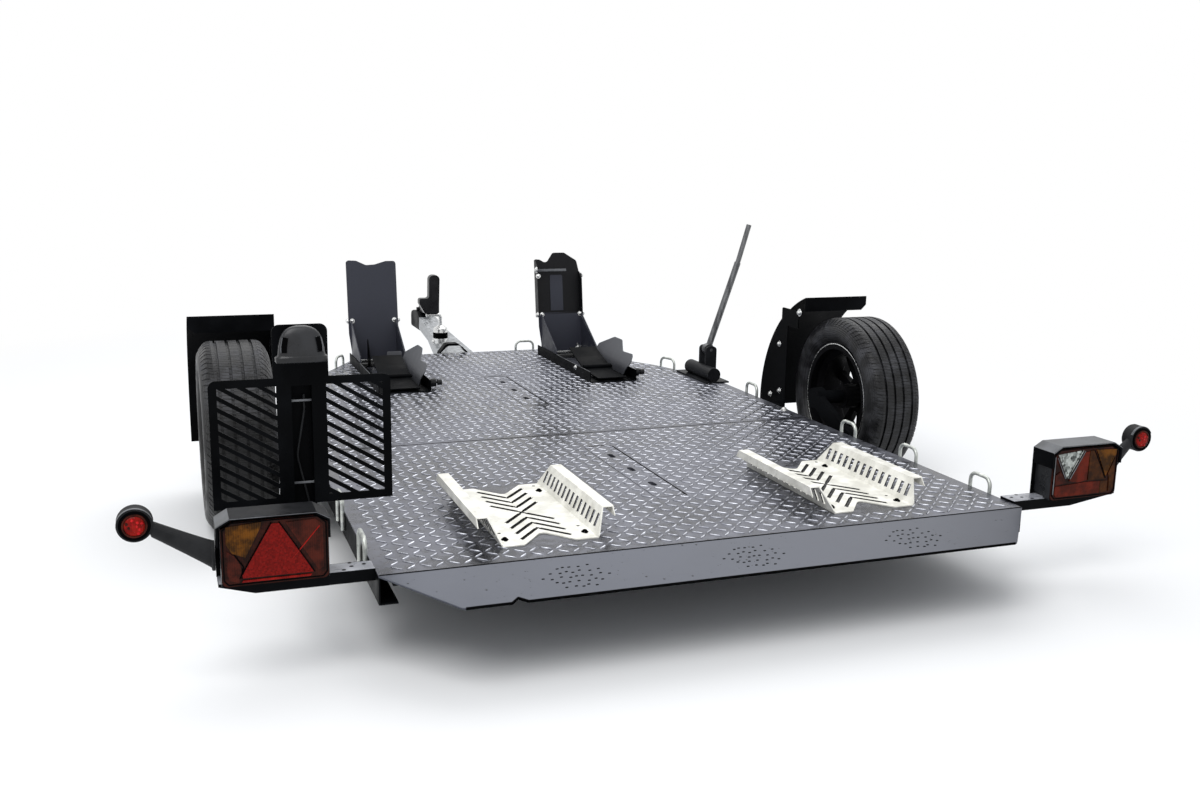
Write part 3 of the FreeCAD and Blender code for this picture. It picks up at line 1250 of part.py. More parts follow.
os.makedirs("parts", exist_ok=True)
for item in doc.Objects:
    if "Invalid" in item.State or "Error" in item.State:
        raise RuntimeError("%s did not build: %s" % (item.Name, item.State))
for label, item in NODES.items():
    if item.Shape.isNull() or not item.Shape.isValid():
        raise RuntimeError("%s has no valid shape" % label)
for label, item in NODES.items():
    item.Shape.exportStep(os.path.join("parts", label + ".step"))
    print(label, round(item.Shape.Volume / 1000), "cm3", len(item.Shape.Solids))
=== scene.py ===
import math

import bpy
from mathutils import Matrix, Vector


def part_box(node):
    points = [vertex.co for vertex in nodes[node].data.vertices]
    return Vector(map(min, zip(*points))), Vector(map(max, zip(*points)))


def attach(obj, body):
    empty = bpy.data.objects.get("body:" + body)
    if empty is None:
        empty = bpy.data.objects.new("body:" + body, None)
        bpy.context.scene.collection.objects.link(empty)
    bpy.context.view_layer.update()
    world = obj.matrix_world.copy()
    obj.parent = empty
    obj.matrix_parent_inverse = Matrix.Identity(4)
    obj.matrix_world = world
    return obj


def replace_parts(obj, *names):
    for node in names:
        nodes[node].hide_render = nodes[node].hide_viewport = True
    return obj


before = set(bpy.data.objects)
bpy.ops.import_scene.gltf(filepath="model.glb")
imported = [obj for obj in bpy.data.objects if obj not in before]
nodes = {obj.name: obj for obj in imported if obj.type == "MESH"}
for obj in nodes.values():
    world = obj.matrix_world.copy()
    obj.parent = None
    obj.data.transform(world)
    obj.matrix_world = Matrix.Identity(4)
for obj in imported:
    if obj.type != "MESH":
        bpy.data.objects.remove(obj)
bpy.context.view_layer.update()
print("frame loaded:", len(nodes), "nodes")

# Distances along the deck are counted forward from its rear edge, in metres.
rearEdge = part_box("deck_rear")[0].y
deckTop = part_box("deck_rear")[1].z
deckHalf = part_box("deck_rear")[1].x


def station(distance):
    return rearEdge + distance


class Wire:
    # one output socket of a node tree; arithmetic on it adds Math nodes
    def __init__(self, graph, socket):
        self.graph = graph
        self.socket = socket

    def math(self, operation, first, second=None):
        sockets = {0: first} if second is None else {0: first, 1: second}
        return self.graph.node("ShaderNodeMath", {"operation": operation}, sockets)

    def __add__(self, other):
        return self.math("ADD", self, other)

    def __sub__(self, other):
        return self.math("SUBTRACT", self, other)

    def __rsub__(self, other):
        return self.math("SUBTRACT", other, self)

    def __mul__(self, other):
        return self.math("MULTIPLY", self, other)

    def __lt__(self, other):
        return self.math("LESS_THAN", self, other)

    def __gt__(self, other):
        return self.math("GREATER_THAN", self, other)

    __radd__ = __add__
    __rmul__ = __mul__

    def fraction(self):
        return self.math("FRACT", self)

    def size(self):
        return self.math("ABSOLUTE", self)

    def root(self):
        return self.math("SQRT", self)

    def larger(self, other):
        return self.math("MAXIMUM", self, other)

    def capped(self):
        return self.math("MINIMUM", self.larger(0.0), 1.0)

    def eased(self, low, high, atLow=0.0, atHigh=1.0):
        settings = {"interpolation_type": "SMOOTHSTEP"}
        return self.graph.node("ShaderNodeMapRange", settings, {0: self, 1: low, 2: high, 3: atLow, 4: atHigh})


class Graph:
    # the node tree of a finish or of the sky; each added node comes from the node method
    def __init__(self, tree):
        self.tree = tree

    def put(self, socket, value):
        if isinstance(value, Wire):
            self.tree.links.new(value.socket, socket)
        elif isinstance(value, tuple) and len(value) == 3 and socket.type == "RGBA":
            socket.default_value = (*value, 1)
        else:
            socket.default_value = value

    def node(self, kind, settings=None, sockets=None, output=0):
        made = self.tree.nodes.new(kind)
        for key, value in (settings or {}).items():
            setattr(made, key, value)
        for key, value in (sockets or {}).items():
            self.put(made.inputs[key], value)
        return Wire(self, made.outputs[output])

    def seenDirectly(self):
        # 1 for what the camera, a reflection or a clear part looks at
        camera, glossy, through = [self.node("ShaderNodeLightPath", output=name)
                                   for name in ("Is Camera Ray", "Is Glossy Ray", "Is Transmission Ray")]
        return camera.larger(glossy).larger(through)


class Finish(Graph):
    # one material, with the shader's plain values set here
    def __init__(self, name, colour, rough, metal=0.0, coat=0.0, specular=0.5):
        self.material = bpy.data.materials.new(name)
        self.material.use_nodes = True
        super().__init__(self.material.node_tree)
        self.shader = self.tree.nodes["Principled BSDF"]
        plain = {"Base Color": colour, "Roughness": rough, "Metallic": metal, "Coat Weight": coat,
                 "Coat Roughness": 0.08, "Specular IOR Level": specular}
        for key, value in plain.items():
            self.put(self.shader.inputs[key], value)

    def where(self):
        return self.node("ShaderNodeTexCoord", output="Object")

    def place(self):
        return [self.node("ShaderNodeSeparateXYZ", None, {0: self.where()}, output=i) for i in range(3)]

    def noise(self, scale, detail=3.0, rough=0.55):
        return self.node("ShaderNodeTexNoise", None,
                         {"Vector": self.where(), "Scale": scale, "Detail": detail, "Roughness": rough})

    def stretched(self, stretch, scale, detail=3.0):
        # noise drawn out along an axis: a small factor makes it long there
        longer = self.node("ShaderNodeVectorMath", {"operation": "MULTIPLY"}, {0: self.where(), 1: stretch})
        return self.node("ShaderNodeTexNoise", None, {"Vector": longer, "Scale": scale, "Detail": detail})

    def cells(self, scale, output="Distance", even=1.0):
        return self.node("ShaderNodeTexVoronoi", None,
                         {"Vector": self.where(), "Scale": scale, "Randomness": even}, output)

    def luck(self, scale, even=1.0):
        # one random value for each cell
        return self.node("ShaderNodeSeparateColor", None, {0: self.cells(scale, "Color", even)})

    def mixed(self, factor, first, second):
        return self.node("ShaderNodeMix", {"data_type": "RGBA"}, {0: factor, 6: first, 7: second}, output=2)

    def colour(self, value):
        self.put(self.shader.inputs["Base Color"], value)

    def rough(self, value):
        self.put(self.shader.inputs["Roughness"], value)

    def raised(self, height, distance=0.001, strength=1.0):
        bump = self.node("ShaderNodeBump", None, {"Strength": strength, "Distance": distance, "Height": height})
        self.put(self.shader.inputs["Normal"], bump)

    def drops(self, scale=95.0, share=0.35):
        # round water drops, one in each lucky cell
        return self.cells(scale).eased(0.12, 0.42, 1.0, 0.0) * (self.luck(scale) < share)


cradleSlots = {
    "half": 0.058, "rise": 0.070, "pitch": 0.041, "reach": 0.132, "fade": 0.003, "endFade": 0.002,
    "edgeOff": 0.0041, "edgeWide": 0.0014, "edgeHigh": 0.0005, "plate": 0.0026,
}


def underSlots(f, cradle):
    # 1 on the deck below a cradle's slots, where shade is painted, 0 beyond them
    c = cradleSlots
    low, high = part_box(cradle)
    middle = (low + high) / 2
    x, y = f.place()[:2]
    across = (x - middle.x).size()
    along = (y - middle.y).size() - across * (c["rise"] / c["half"])
    inside = 1 - across.eased(c["half"], c["half"] + c["fade"])
    return inside * (1 - along.eased(c["reach"] - c["endFade"], c["reach"] + c["endFade"]))


def treadFlat():
    # wet plate in patches, with painted shade under the slots of the cradles
    f = Finish("treadFlat", (0.05, 0.052, 0.062), 0.3, metal=0.75, specular=0.4)
    patches = f.noise(3.0, 5.0)
    mottle = f.noise(38.0, 4.0)
    toneBand = (patches * 0.6 + mottle * 0.4).eased(0.36, 0.64)
    slotShade = underSlots(f, "wheel_cradle_left").larger(underSlots(f, "wheel_cradle_right"))
    unshadedTread = f.mixed(toneBand, (0.034, 0.036, 0.046), (0.15, 0.155, 0.185))
    # painted shade: the deck below the cradle slots is darkened almost to black
    f.colour(f.mixed(slotShade * 0.92, unshadedTread, (0.004, 0.004, 0.005)))
    f.rough(toneBand.eased(0.0, 1.0, 0.2, 0.42))
    f.raised(f.drops(75.0, 0.3) + f.noise(420.0, 2.0) * 0.2, 0.0012, 0.5)
    return f


def treadRidge():
    # bright along the crest, partly from wear and partly a painted highlight, like the flats further down
    f = Finish("treadRidge", (0.3, 0.31, 0.36), 0.3, metal=0.75)
    tone = f.noise(55.0, 4.0)
    crestHighlight = f.place()[2].eased(deckTop + 0.0008, deckTop + 0.0016)
    flank = f.mixed(tone.eased(0.36, 0.66), (0.07, 0.074, 0.09), (0.15, 0.155, 0.185))
    top = f.mixed(tone.eased(0.32, 0.62), (0.3, 0.31, 0.36), (0.74, 0.76, 0.82))
    # the pale crest colour is a painted highlight, partly wear
    f.colour(f.mixed(crestHighlight, flank, top))
    f.rough(tone.eased(0.3, 0.7, 0.42, 0.24))
    return f


def lipPaint():
    # smooth wet paint with a few dark drops and specks
    f = Finish("lipPaint", (0.075, 0.08, 0.098), 0.34, metal=0.7, specular=0.25)
    broad = f.noise(2.6, 4.0)
    spots = f.cells(62.0).eased(0.10, 0.2, 1.0, 0.0) * (f.luck(62.0) < 0.16)
    specks = f.cells(150.0).eased(0.12, 0.24, 1.0, 0.0) * (f.luck(150.0) < 0.1)
    marks = (spots + specks).capped() * f.noise(7.0, 3.0).eased(0.46, 0.56)
    base = f.mixed(broad.eased(0.3, 0.7), (0.062, 0.067, 0.083), (0.088, 0.094, 0.114))
    f.colour(f.mixed(marks, base, (0.014, 0.015, 0.018)))
    f.rough(broad.eased(0.3, 0.7, 0.28, 0.4))
    f.raised(marks, 0.0008, 0.5)
    return f


def blackCoat(name="blackCoat", dark=(0.0016, 0.0018, 0.0022), light=(0.0045, 0.005, 0.006), specular=0.03):
    # wet powder coat
    f = Finish(name, dark, 0.5, specular=specular)
    broad = f.noise(9.0, 4.0)
    f.colour(f.mixed(broad.eased(0.35, 0.75), dark, light))
    f.rough(broad.eased(0.3, 0.7, 0.36, 0.6))
    f.raised(f.drops(120.0, 0.18) + f.noise(900.0, 2.0) * 0.12, 0.0008, 0.5)
    return f


def chockPaint(name, shadeFrom):
    # slate powder coat, darker to the foot; a stepped plate is black above its step, which is painted shade
    f = Finish(name, (0.03, 0.032, 0.044), 0.42, specular=0.22)
    broad = f.noise(11.0, 4.0)
    height = f.place()[2]
    foot = height.eased(deckTop, deckTop + 0.3)
    slate = f.mixed((foot * 0.7 + broad * 0.3).capped(), (0.02, 0.0215, 0.032), (0.042, 0.0445, 0.058))
    shadedAbove = height.eased(deckTop + shadeFrom, deckTop + shadeFrom + 0.004)
    # painted shade: near black above the step
    f.colour(f.mixed(shadedAbove, slate, (0.003, 0.0032, 0.0045)))
    f.rough(broad.eased(0.3, 0.7, 0.36, 0.5))
    f.raised(f.noise(700.0, 2.0), 0.0003, 0.4)
    return f


def wingPaint():
    # grey paint, with painted shade darkening it towards the foot
    f = Finish("wingPaint", (0.09, 0.092, 0.1), 0.46, specular=0.3)
    broad = f.noise(16.0, 4.0)
    height = f.place()[2].eased(deckTop + 0.01, deckTop + 0.1)
    # painted shade: darker towards the deck
    f.colour(f.mixed((height * 0.8 + broad * 0.2).capped(), (0.03, 0.031, 0.037), (0.125, 0.128, 0.138)))
    f.rough(broad.eased(0.3, 0.7, 0.4, 0.54))
    return f


cradleWalls = {
    "deep": 0.076, "half": 0.060, "margin": 0.012, "sheet": 0.0035, "floorHalf": 0.1, "wingMargin": 0.016,
}


def ivoryZinc(side):
    # pale passivated zinc, cloudy, with painted shade on the walls of the slots
    w = cradleWalls
    f = Finish("ivoryZinc" + side, (0.8, 0.785, 0.72), 0.42, metal=0.1)
    cloud = f.noise(22.0, 5.0)
    stains = f.noise(70.0, 4.0).eased(0.58, 0.74)
    pale = f.mixed(cloud.eased(0.3, 0.7), (0.66, 0.645, 0.58), (0.9, 0.885, 0.82))
    low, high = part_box("wheel_cradle_" + side.lower())
    x, y, z = f.place()
    looking = f.node("ShaderNodeTexCoord", output="Normal")
    turned = [f.node("ShaderNodeSeparateXYZ", None, {0: looking}, output=i).size() for i in range(3)]
    across = (x - (low.x + high.x) / 2).size()
    notch = (w["deep"] - across * (w["deep"] / w["half"])).larger(0.0) + w["margin"]
    inside = (y - low.y > notch) * (high.y - y > notch)
    floorSlot = (turned[2] < 0.5) * (z < low.z + w["sheet"]) * (across < w["floorHalf"])
    alongWing = (y > low.y + w["wingMargin"]) * (y < high.y - w["wingMargin"])
    wingSlot = (turned[1] > 0.9) * (z > low.z + w["sheet"]) * alongWing
    # painted shade: the slot walls in the plate and in the wings turn near black
    shade = (floorSlot * inside + wingSlot).capped()
    aged = f.mixed(stains * 0.35, pale, (0.42, 0.4, 0.34))
    f.colour(f.mixed(shade, aged, (0.02, 0.018, 0.016)))
    f.rough(cloud.eased(0.3, 0.7, 0.34, 0.52))
    f.raised(f.noise(260.0, 3.0), 0.0003, 0.3)
    return f


def spangledZinc(name, dark, light, scale):
    # dull zinc, one tone for each crystal
    f = Finish(name, dark, 0.4, metal=0.6)
    spangle = f.luck(scale)
    f.colour(f.mixed(spangle, dark, light))
    f.rough(spangle.eased(0.0, 1.0, 0.3, 0.5))
    f.raised(f.noise(300.0, 3.0), 0.0003, 0.3)
    return f


def brightPlate():
    # bright plated steel
    f = Finish("brightPlate", (0.68, 0.69, 0.69), 0.22, metal=0.9)
    streaks = f.noise(160.0, 3.0)
    f.rough(streaks.eased(0.3, 0.7, 0.14, 0.32))
    f.colour(f.mixed(streaks.eased(0.3, 0.7), (0.5, 0.51, 0.52), (0.86, 0.86, 0.84)))
    return f


def leverSteel():
    # dull steel with streaks along the lever
    f = Finish("leverSteel", (0.1, 0.102, 0.106), 0.34, metal=0.5, coat=0.1)
    streaks = f.stretched((1.0, 1.0, 0.12), 90.0)
    f.colour(f.mixed(streaks.eased(0.3, 0.7), (0.06, 0.062, 0.066), (0.16, 0.163, 0.168)))
    f.rough(streaks.eased(0.3, 0.7, 0.26, 0.44))
    return f


tyreMarks = {
    "tread": (0.248, 0.256), "sipes": 12.73, "sweep": 46.0, "fine": 25.46, "slant": 16.0, "rings": 160.0,
    "toneBand": (0.28, 0.46), "shadeShare": {"Left": 0.9, "Right": 0.3},
}


def tyreRubber(side):
    # slanted sipes on the tread, thin rings on the wall, painted shade in the sipes and towards the ground
    m = tyreMarks
    f = Finish("tyreRubber" + side, (0.014, 0.0145, 0.016), 0.5, specular=0.3)
    low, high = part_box("tyre_" + side.lower())
    middle = (low + high) / 2
    x, y, z = f.place()
    y, z, across = y - middle.y, z - middle.z, x - middle.x
    reach = (y * y + z * z).root()
    turn = z.math("ARCTAN2", z, y)
    onTread = reach.eased(*m["tread"])
    sipe = ((turn * m["sipes"] + across * across * m["sweep"]).fraction() - 0.5).size()
    fine = ((turn * m["fine"] - across * m["slant"]).fraction() - 0.5).size()
    cut = sipe.eased(0.03, 0.07) * fine.eased(0.04, 0.1)
    ring = ((reach * m["rings"]).fraction() - 0.5).size().eased(0.05, 0.2)
    f.raised(ring * (1 - onTread) + cut * onTread, 0.0016, 0.85)
    broad = f.noise(22.0, 4.0)
    rubber = f.mixed(broad.eased(0.40, 0.72), (0.0065, 0.0067, 0.008), (0.046, 0.047, 0.053))
    # painted shade inside the sipe cuts
    tone = f.mixed((1 - cut) * onTread * 0.9, rubber, (0.0012, 0.0012, 0.0012))
    # painted shade low on the tyre, much stronger on the left one
    shadeBelow = (1 - (z + middle.z).eased(*m["toneBand"])) * m["shadeShare"][side]
    f.colour(f.mixed(shadeBelow, tone, (0.0022, 0.0023, 0.0024)))
    f.rough(broad.eased(0.3, 0.7, 0.30, 0.56))
    return f


def moulded(name, dark, light, rough, specular=0.3):
    # rubber or plastic from a mould, and paint; also the painted sky reflection on the hood and beam tops and
    # the pale edges
    f = Finish(name, dark, rough, specular=specular)
    broad = f.noise(18.0, 3.0)
    f.colour(f.mixed(broad.eased(0.3, 0.7), dark, light))
    f.rough(broad.eased(0.3, 0.7, rough - 0.07, rough + 0.07))
    f.raised(f.noise(500.0, 2.0), 0.0003, 0.3)
    return f


def lensPlastic(name, dark, light, ribs=230.0):
    # a moulded lens: fine upright ribs crossed by weaker level ones, cloudy with what lies behind
    f = Finish(name, dark, 0.16, coat=0.06, specular=0.06)
    x, _, z = f.place()
    rising = ((x * ribs).fraction() - 0.5).size()
    level = ((z * ribs).fraction() - 0.5).size()
    cloud = f.noise(42.0, 4.0).eased(0.34, 0.68)
    f.colour(f.mixed((cloud * 0.75 + rising * 0.4).capped(), dark, light))
    f.raised(rising + level * 0.8, 0.0008, 0.4)
    return f


def facetLens(name, dark, light, scale):
    # small facets, each with its own tone
    f = Finish(name, dark, 0.14, coat=0.06, specular=0.06)
    f.colour(f.mixed(f.luck(scale, 0.45), dark, light))
    f.raised(f.cells(scale, even=0.45), 0.001, 0.5)
    return f


finishes = {
    "tread": treadFlat(), "ridge": treadRidge(), "lip": lipPaint(),
    "black": blackCoat(),
    "blackSheen": blackCoat("blackSheen", (0.004, 0.0044, 0.0055), (0.01, 0.0108, 0.013), 0.16),
    # the deepest black serves dark joints, print and marks, and also painted shade in slots and holes
    "soot": blackCoat("soot", (0.0012, 0.0012, 0.0014), (0.0024, 0.0024, 0.0028), 0.01),
    # the right upright gets painted shade above 0.172; the left one stays lit slate
    "slateLeft": chockPaint("slateLeft", 0.6), "slateRight": chockPaint("slateRight", 0.172),
    "wing": wingPaint(),
    "ivoryLeft": ivoryZinc("Left"), "ivoryRight": ivoryZinc("Right"),
    "zinc": spangledZinc("zincLoops", (0.4, 0.42, 0.4), (0.66, 0.68, 0.64), 70.0),
    "galvanised": spangledZinc("galvanised", (0.2, 0.21, 0.22), (0.42, 0.435, 0.45), 80.0),
    "bright": brightPlate(), "lever": leverSteel(),
    "tyreRight": tyreRubber("Right"), "tyreLeft": tyreRubber("Left"),
    "rim": blackCoat("rimCoat", (0.0015, 0.0015, 0.0018), (0.004, 0.004, 0.005), 0.06),
    # the beam and hood tops are painted sky reflection, the left hood's top its darker copy; the pale edges are
    # partly painted reflection
    "beamTop": moulded("beamTop", (0.2, 0.205, 0.23), (0.42, 0.43, 0.46), 0.32),
    "hoodTop": moulded("hoodTop", (0.05, 0.053, 0.058), (0.125, 0.13, 0.14), 0.4, 0.25),
    "hoodTopDark": moulded("hoodTopDark", (0.006, 0.0065, 0.0075), (0.018, 0.0185, 0.021), 0.42, 0.15),
    "edge": moulded("paleEdgeAndSheen", (0.07, 0.073, 0.08), (0.16, 0.165, 0.175), 0.4),
    "shell": moulded("lampShell", (0.008, 0.0085, 0.010), (0.02, 0.021, 0.024), 0.3, 0.35),
    "rubber": moulded("softRubber", (0.008, 0.0085, 0.0095), (0.019, 0.0195, 0.021), 0.6, 0.14),
    "grip": moulded("blackGrip", (0.005, 0.005, 0.006), (0.014, 0.0145, 0.016), 0.3, 0.2),
    "redBody": lensPlastic("redBody", (0.008, 0.0022, 0.001), (0.045, 0.008, 0.004)),
    "red": lensPlastic("redLens", (0.12, 0.003, 0.002), (0.32, 0.010, 0.006)),
    "redDeep": lensPlastic("redDeep", (0.016, 0.0035, 0.002), (0.075, 0.012, 0.006)),
    "redBand": lensPlastic("redBand", (0.045, 0.006, 0.002), (0.13, 0.013, 0.005)),
    "amber": lensPlastic("amberLens", (0.018, 0.007, 0.001), (0.16, 0.055, 0.004)),
    "brown": lensPlastic("brownLens", (0.016, 0.005, 0.001), (0.075, 0.022, 0.003)),
    "triangle": facetLens("reflectorRed", (0.10, 0.002, 0.001), (0.19, 0.005, 0.003), 300.0),
    "clear": facetLens("clearLens", (0.03, 0.034, 0.032), (0.5, 0.53, 0.5), 150.0),
    "sparkle": facetLens("markerFacets", (0.16, 0.002, 0.003), (0.55, 0.014, 0.016), 150.0),
}
print("finishes made:", len(finishes))

nodeFinish = {
    "tread": ["deck_rear", "deck_front", "hatch_covers"],
    "lip": ["loading_lip"],
    "black": ["side_rails", "crossmembers", "axle_tube", "swing_arm_right", "swing_arm_left", "fender_right",
              "fender_left", "fender_bracket_right", "fender_bracket_left",
              "number_plate_holder", "chock_base_left", "chock_base_right", "drawbar_bracket", "coupling_head",
              "chock_rocker_left", "chock_rocker_right"],
    "blackSheen": ["lamp_hood_right", "lamp_hood_left", "pump_body"],
    "bright": ["pivot_shaft", "jockey_fork", "jockey_tube", "jockey_collar", "jockey_crank"],
    "lever": ["pump_lever"],
    "ivoryLeft": ["wheel_cradle_left"], "ivoryRight": ["wheel_cradle_right"],
    "zinc": ["tie_down_loops"],
    "galvanised": ["drawbar"],
    "slateLeft": ["chock_upright_left"], "slateRight": ["chock_upright_right"],
    "wing": ["chock_wings_left", "chock_wings_right"],
    "rim": ["rim_right", "rim_left"],
    "tyreRight": ["tyre_right"], "tyreLeft": ["tyre_left"],
    "rubber": ["jockey_wheel", "marker_arms", "plate_cable"],
    "redBody": ["tail_lamp_lenses"], "red": ["marker_lenses"],
    "shell": ["tail_lamps", "plate_lamp"],
    "grip": ["chock_knobs", "coupling_handle", "jockey_grip"],
}
for key, names in nodeFinish.items():
    for name in names:
        nodes[name].data.materials.clear()
        nodes[name].data.materials.append(finishes[key].material)
print("nodes dressed")


class Heap:
    # points and faces gathered for one piece; the first finish holds where no other is named
    def __init__(self, finish):
        self.finishes = [finish]
        self.points = []
        self.faces = []
        self.parts = []

    def part(self, finish):
        if finish not in self.finishes:
            self.finishes.append(finish)
        return self.finishes.index(finish)

    def add(self, points, faces, matrix=None, finish=None):
        # finish: one name for all the faces, or a list with one name for each
        start = len(self.points)
        self.points += [tuple(matrix @ Vector(p)) if matrix else tuple(p) for p in points]
        self.faces += [tuple(start + i for i in face) for face in faces]
        names = finish if isinstance(finish, list) else [finish or self.finishes[0]] * len(faces)
        self.parts += [self.part(name) for name in names]

    def piece(self, name, slot, body="deck", smooth=False):
        mesh = bpy.data.meshes.new(name)
        mesh.from_pydata(self.points, [], self.faces)
        for one in self.finishes:
            mesh.materials.append(finishes[one].material)
        mesh.polygons.foreach_set("material_index", self.parts)
        mesh.polygons.foreach_set("use_smooth", [smooth] * len(self.faces))
        mesh.update()
        made = bpy.data.objects.new(name, mesh)
        bpy.context.scene.collection.objects.link(made)
        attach(made, body)
        return made


def facing(direction, at):
    # a frame whose Z looks along the direction
    turn = Vector(direction).normalized().to_track_quat("Z", "Y").to_matrix().to_4x4()
    return Matrix.Translation(at) @ turn


def upright(x, y, z):
    # a frame whose X runs across and whose Y runs up; what is raised from it comes to the rear
    return Matrix.Translation((x, y, z)) @ Matrix.Rotation(math.radians(90), 4, "X")


def mirrored(outline, way):
    # an outline of the right side, or its mirror image for the left
    return outline if way > 0 else [(-x, y) for x, y in reversed(outline)]


def tube(profile, sides):
    # a lathe's wall without its two end faces
    points, faces = lathe(profile, sides)
    return points, faces[:-2]


def lathe(profile, sides):
    # (radius, height) pairs turned about Z, closed at both ends
    points = []
    faces = []
    for radius, height in profile:
        for k in range(sides):
            angle = 2 * math.pi * k / sides
            points.append((radius * math.cos(angle), radius * math.sin(angle), height))
    for row in range(len(profile) - 1):
        for k in range(sides):
            a = row * sides + k
            b = row * sides + (k + 1) % sides
            faces.append((a, b, b + sides, a + sides))
    faces.append(tuple(reversed(range(sides))))
    last = (len(profile) - 1) * sides
    faces.append(tuple(last + k for k in range(sides)))
    return points, faces


def prism(outline, depth):
    # a closed outline in X and Y, raised along Z
    count = len(outline)
    points = [(x, y, 0) for x, y in outline] + [(x, y, depth) for x, y in outline]
    faces = [tuple(reversed(range(count))), tuple(range(count, count * 2))]
    faces += [(k, (k + 1) % count, (k + 1) % count + count, k + count) for k in range(count)]
    return points, faces


def bar(start, end, wide, deep, up=(0, 0, 1)):
    # a straight strip between two points, chamfered along its edges
    start, end = Vector(start), Vector(end)
    along = (end - start).normalized()
    side = along.cross(Vector(up)).normalized() * wide / 2
    rise = side.cross(along).normalized() * deep / 2
    ring = [(-1, -0.6), (-0.8, -1), (0.8, -1), (1, -0.6), (1, 0.6), (0.8, 1), (-0.8, 1), (-1, 0.6)]
    points = [at + side * a + rise * b for at in (start, end) for a, b in ring]
    faces = [tuple(range(8)), tuple(reversed(range(8, 16)))]
    faces += [(k, k + 8, (k + 1) % 8 + 8, (k + 1) % 8) for k in range(8)]
    return [tuple(p) for p in points], faces


def screw(heap, at, direction, size, domed=False, finish=None):
    # a washer with a hexagon or dome head; size is the washer's radius
    there = facing(direction, at)
    heap.add(*lathe([(size, 0), (size, size * 0.12), (size * 0.95, size * 0.18)], 20), there, finish)
    dome = [(0.72, 0.18), (0.68, 0.42), (0.45, 0.66), (0.16, 0.76)]
    hexagon = [(0.62, 0.18), (0.62, 0.62), (0.52, 0.7)]
    head = [(size * a, size * b) for a, b in (dome if domed else hexagon)]
    heap.add(*lathe(head, 20 if domed else 6), there, finish)


treadPlate = {
    "pitch": 0.0300, "long": 0.0350, "wide": 0.0100, "high": 0.0020, "lean": 45, "edge": 0.014,
    "outline": [(0.793, 0), (0.793, 1.79), (0.69, 2.085), (0.42, 2.575)],
    "hatches": [(0.043, 0.345, 0.885), (0.043, 1.475, 2.015)],
    "hatchHoles": (-0.15, 0, 0.15), "corner": 0.020,
    "seam": 1.05, "seamWide": 0.0050, "seamHigh": 0.0006, "length": 2.575,
}


def halfWidthAt(distance):
    line = treadPlate["outline"]
    for (x0, s0), (x1, s1) in zip(line, line[1:]):
        if s0 <= distance <= s1:
            return x0 + (x1 - x0) * (distance - s0) / (s1 - s0)
    return 0


def lugFits(x, distance, margin):
    # no lug on an edge, a seam, a hatch border or a hatch hole
    if not margin < distance < treadPlate["length"] - margin or abs(x) > halfWidthAt(distance) - margin:
        return False
    if abs(distance - treadPlate["seam"]) < margin * 0.8:
        return False
    for half, low, high in treadPlate["hatches"]:
        nearSide = abs(abs(x) - half) < margin * 0.7 and low - margin < distance < high + margin
        nearEnd = abs(x) < half + margin and min(abs(distance - low), abs(distance - high)) < margin * 0.7
        holes = [(low + high) / 2 + k for k in treadPlate["hatchHoles"]]
        hole = abs(x) < 0.02 and any(abs(distance - k) < 0.034 for k in holes)
        if nearSide or nearEnd or hole:
            return False
    return True


def coveredPlaces():
    # where a fitting stands on the deck; a cradle's wings overhang its plate
    covered = []
    for name in ("wheel_cradle_left", "wheel_cradle_right", "chock_base_left", "chock_base_right", "pump_body"):
        low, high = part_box(name)
        inset = 0.049 if "cradle" in name else -0.002
        covered.append((low.x + inset, high.x - inset, low.y - 0.002, high.y + 0.002))
    return covered


def treadLugs():
    # lens-shaped ridges, each at a right angle to its neighbours
    t = treadPlate
    covered = coveredPlaces()
    ring = []
    for k in range(10):
        angle = 2 * math.pi * (k + 0.5) / 10
        squeeze = 1 - 0.5 * abs(math.cos(angle)) ** 3
        ring.append((math.cos(angle) * t["long"] / 2, math.sin(angle) * t["wide"] / 2 * squeeze, -0.0002))
    crown = [(t["long"] * share, 0, t["high"]) for share in (0.3, 0, -0.3)]
    faces = [(9, 0, 10), (0, 1, 10), (1, 2, 11, 10), (2, 3, 12, 11), (3, 4, 12), (4, 5, 12), (5, 6, 12),
             (6, 7, 11, 12), (7, 8, 10, 11), (8, 9, 10)]
    halves = {"Rear": Heap("ridge"), "Front": Heap("ridge")}
    for row in range(int(t["length"] / t["pitch"]) + 1):
        for column in range(-27, 28):
            x, distance = column * t["pitch"], row * t["pitch"]
            y = station(distance)
            if not lugFits(x, distance, t["edge"]) or any(a < x < b and c < y < d for a, b, c, d in covered):
                continue
            lean = math.radians(t["lean"] if (row + column) % 2 else -t["lean"])
            matrix = Matrix.Translation((x, y, deckTop)) @ Matrix.Rotation(lean, 4, "Z")
            halves["Rear" if distance < t["seam"] else "Front"].add(ring + crown, faces, matrix)
    for name, heap in halves.items():
        heap.piece("treadLugs" + name, "tread_plate")
        print("tread lugs", name, len(heap.faces))


def deckSeams():
    # the dark joints between the deck plates, along the lip and round the hatches
    t = treadPlate
    c = t["corner"]
    crossing = ((t["seam"], deckHalf - 0.002), (0.001, deckHalf - 0.001))
    lines = [[(-half, distance), (half, distance)] for distance, half in crossing]
    for half, low, high in t["hatches"]:
        lines.append([(half, low), (half, high - c), (half - c * 0.3, high - c * 0.3), (half - c, high),
                      (-half + c, high)])
    dark = Heap("soot")
    for line in lines:
        for ends in zip(line, line[1:]):
            ends = [(x, station(distance), deckTop + 0.0001) for x, distance in ends]
            dark.add(*bar(*ends, t["seamWide"], t["seamHigh"]))
    dark.piece("deckSeams", "black_steel")


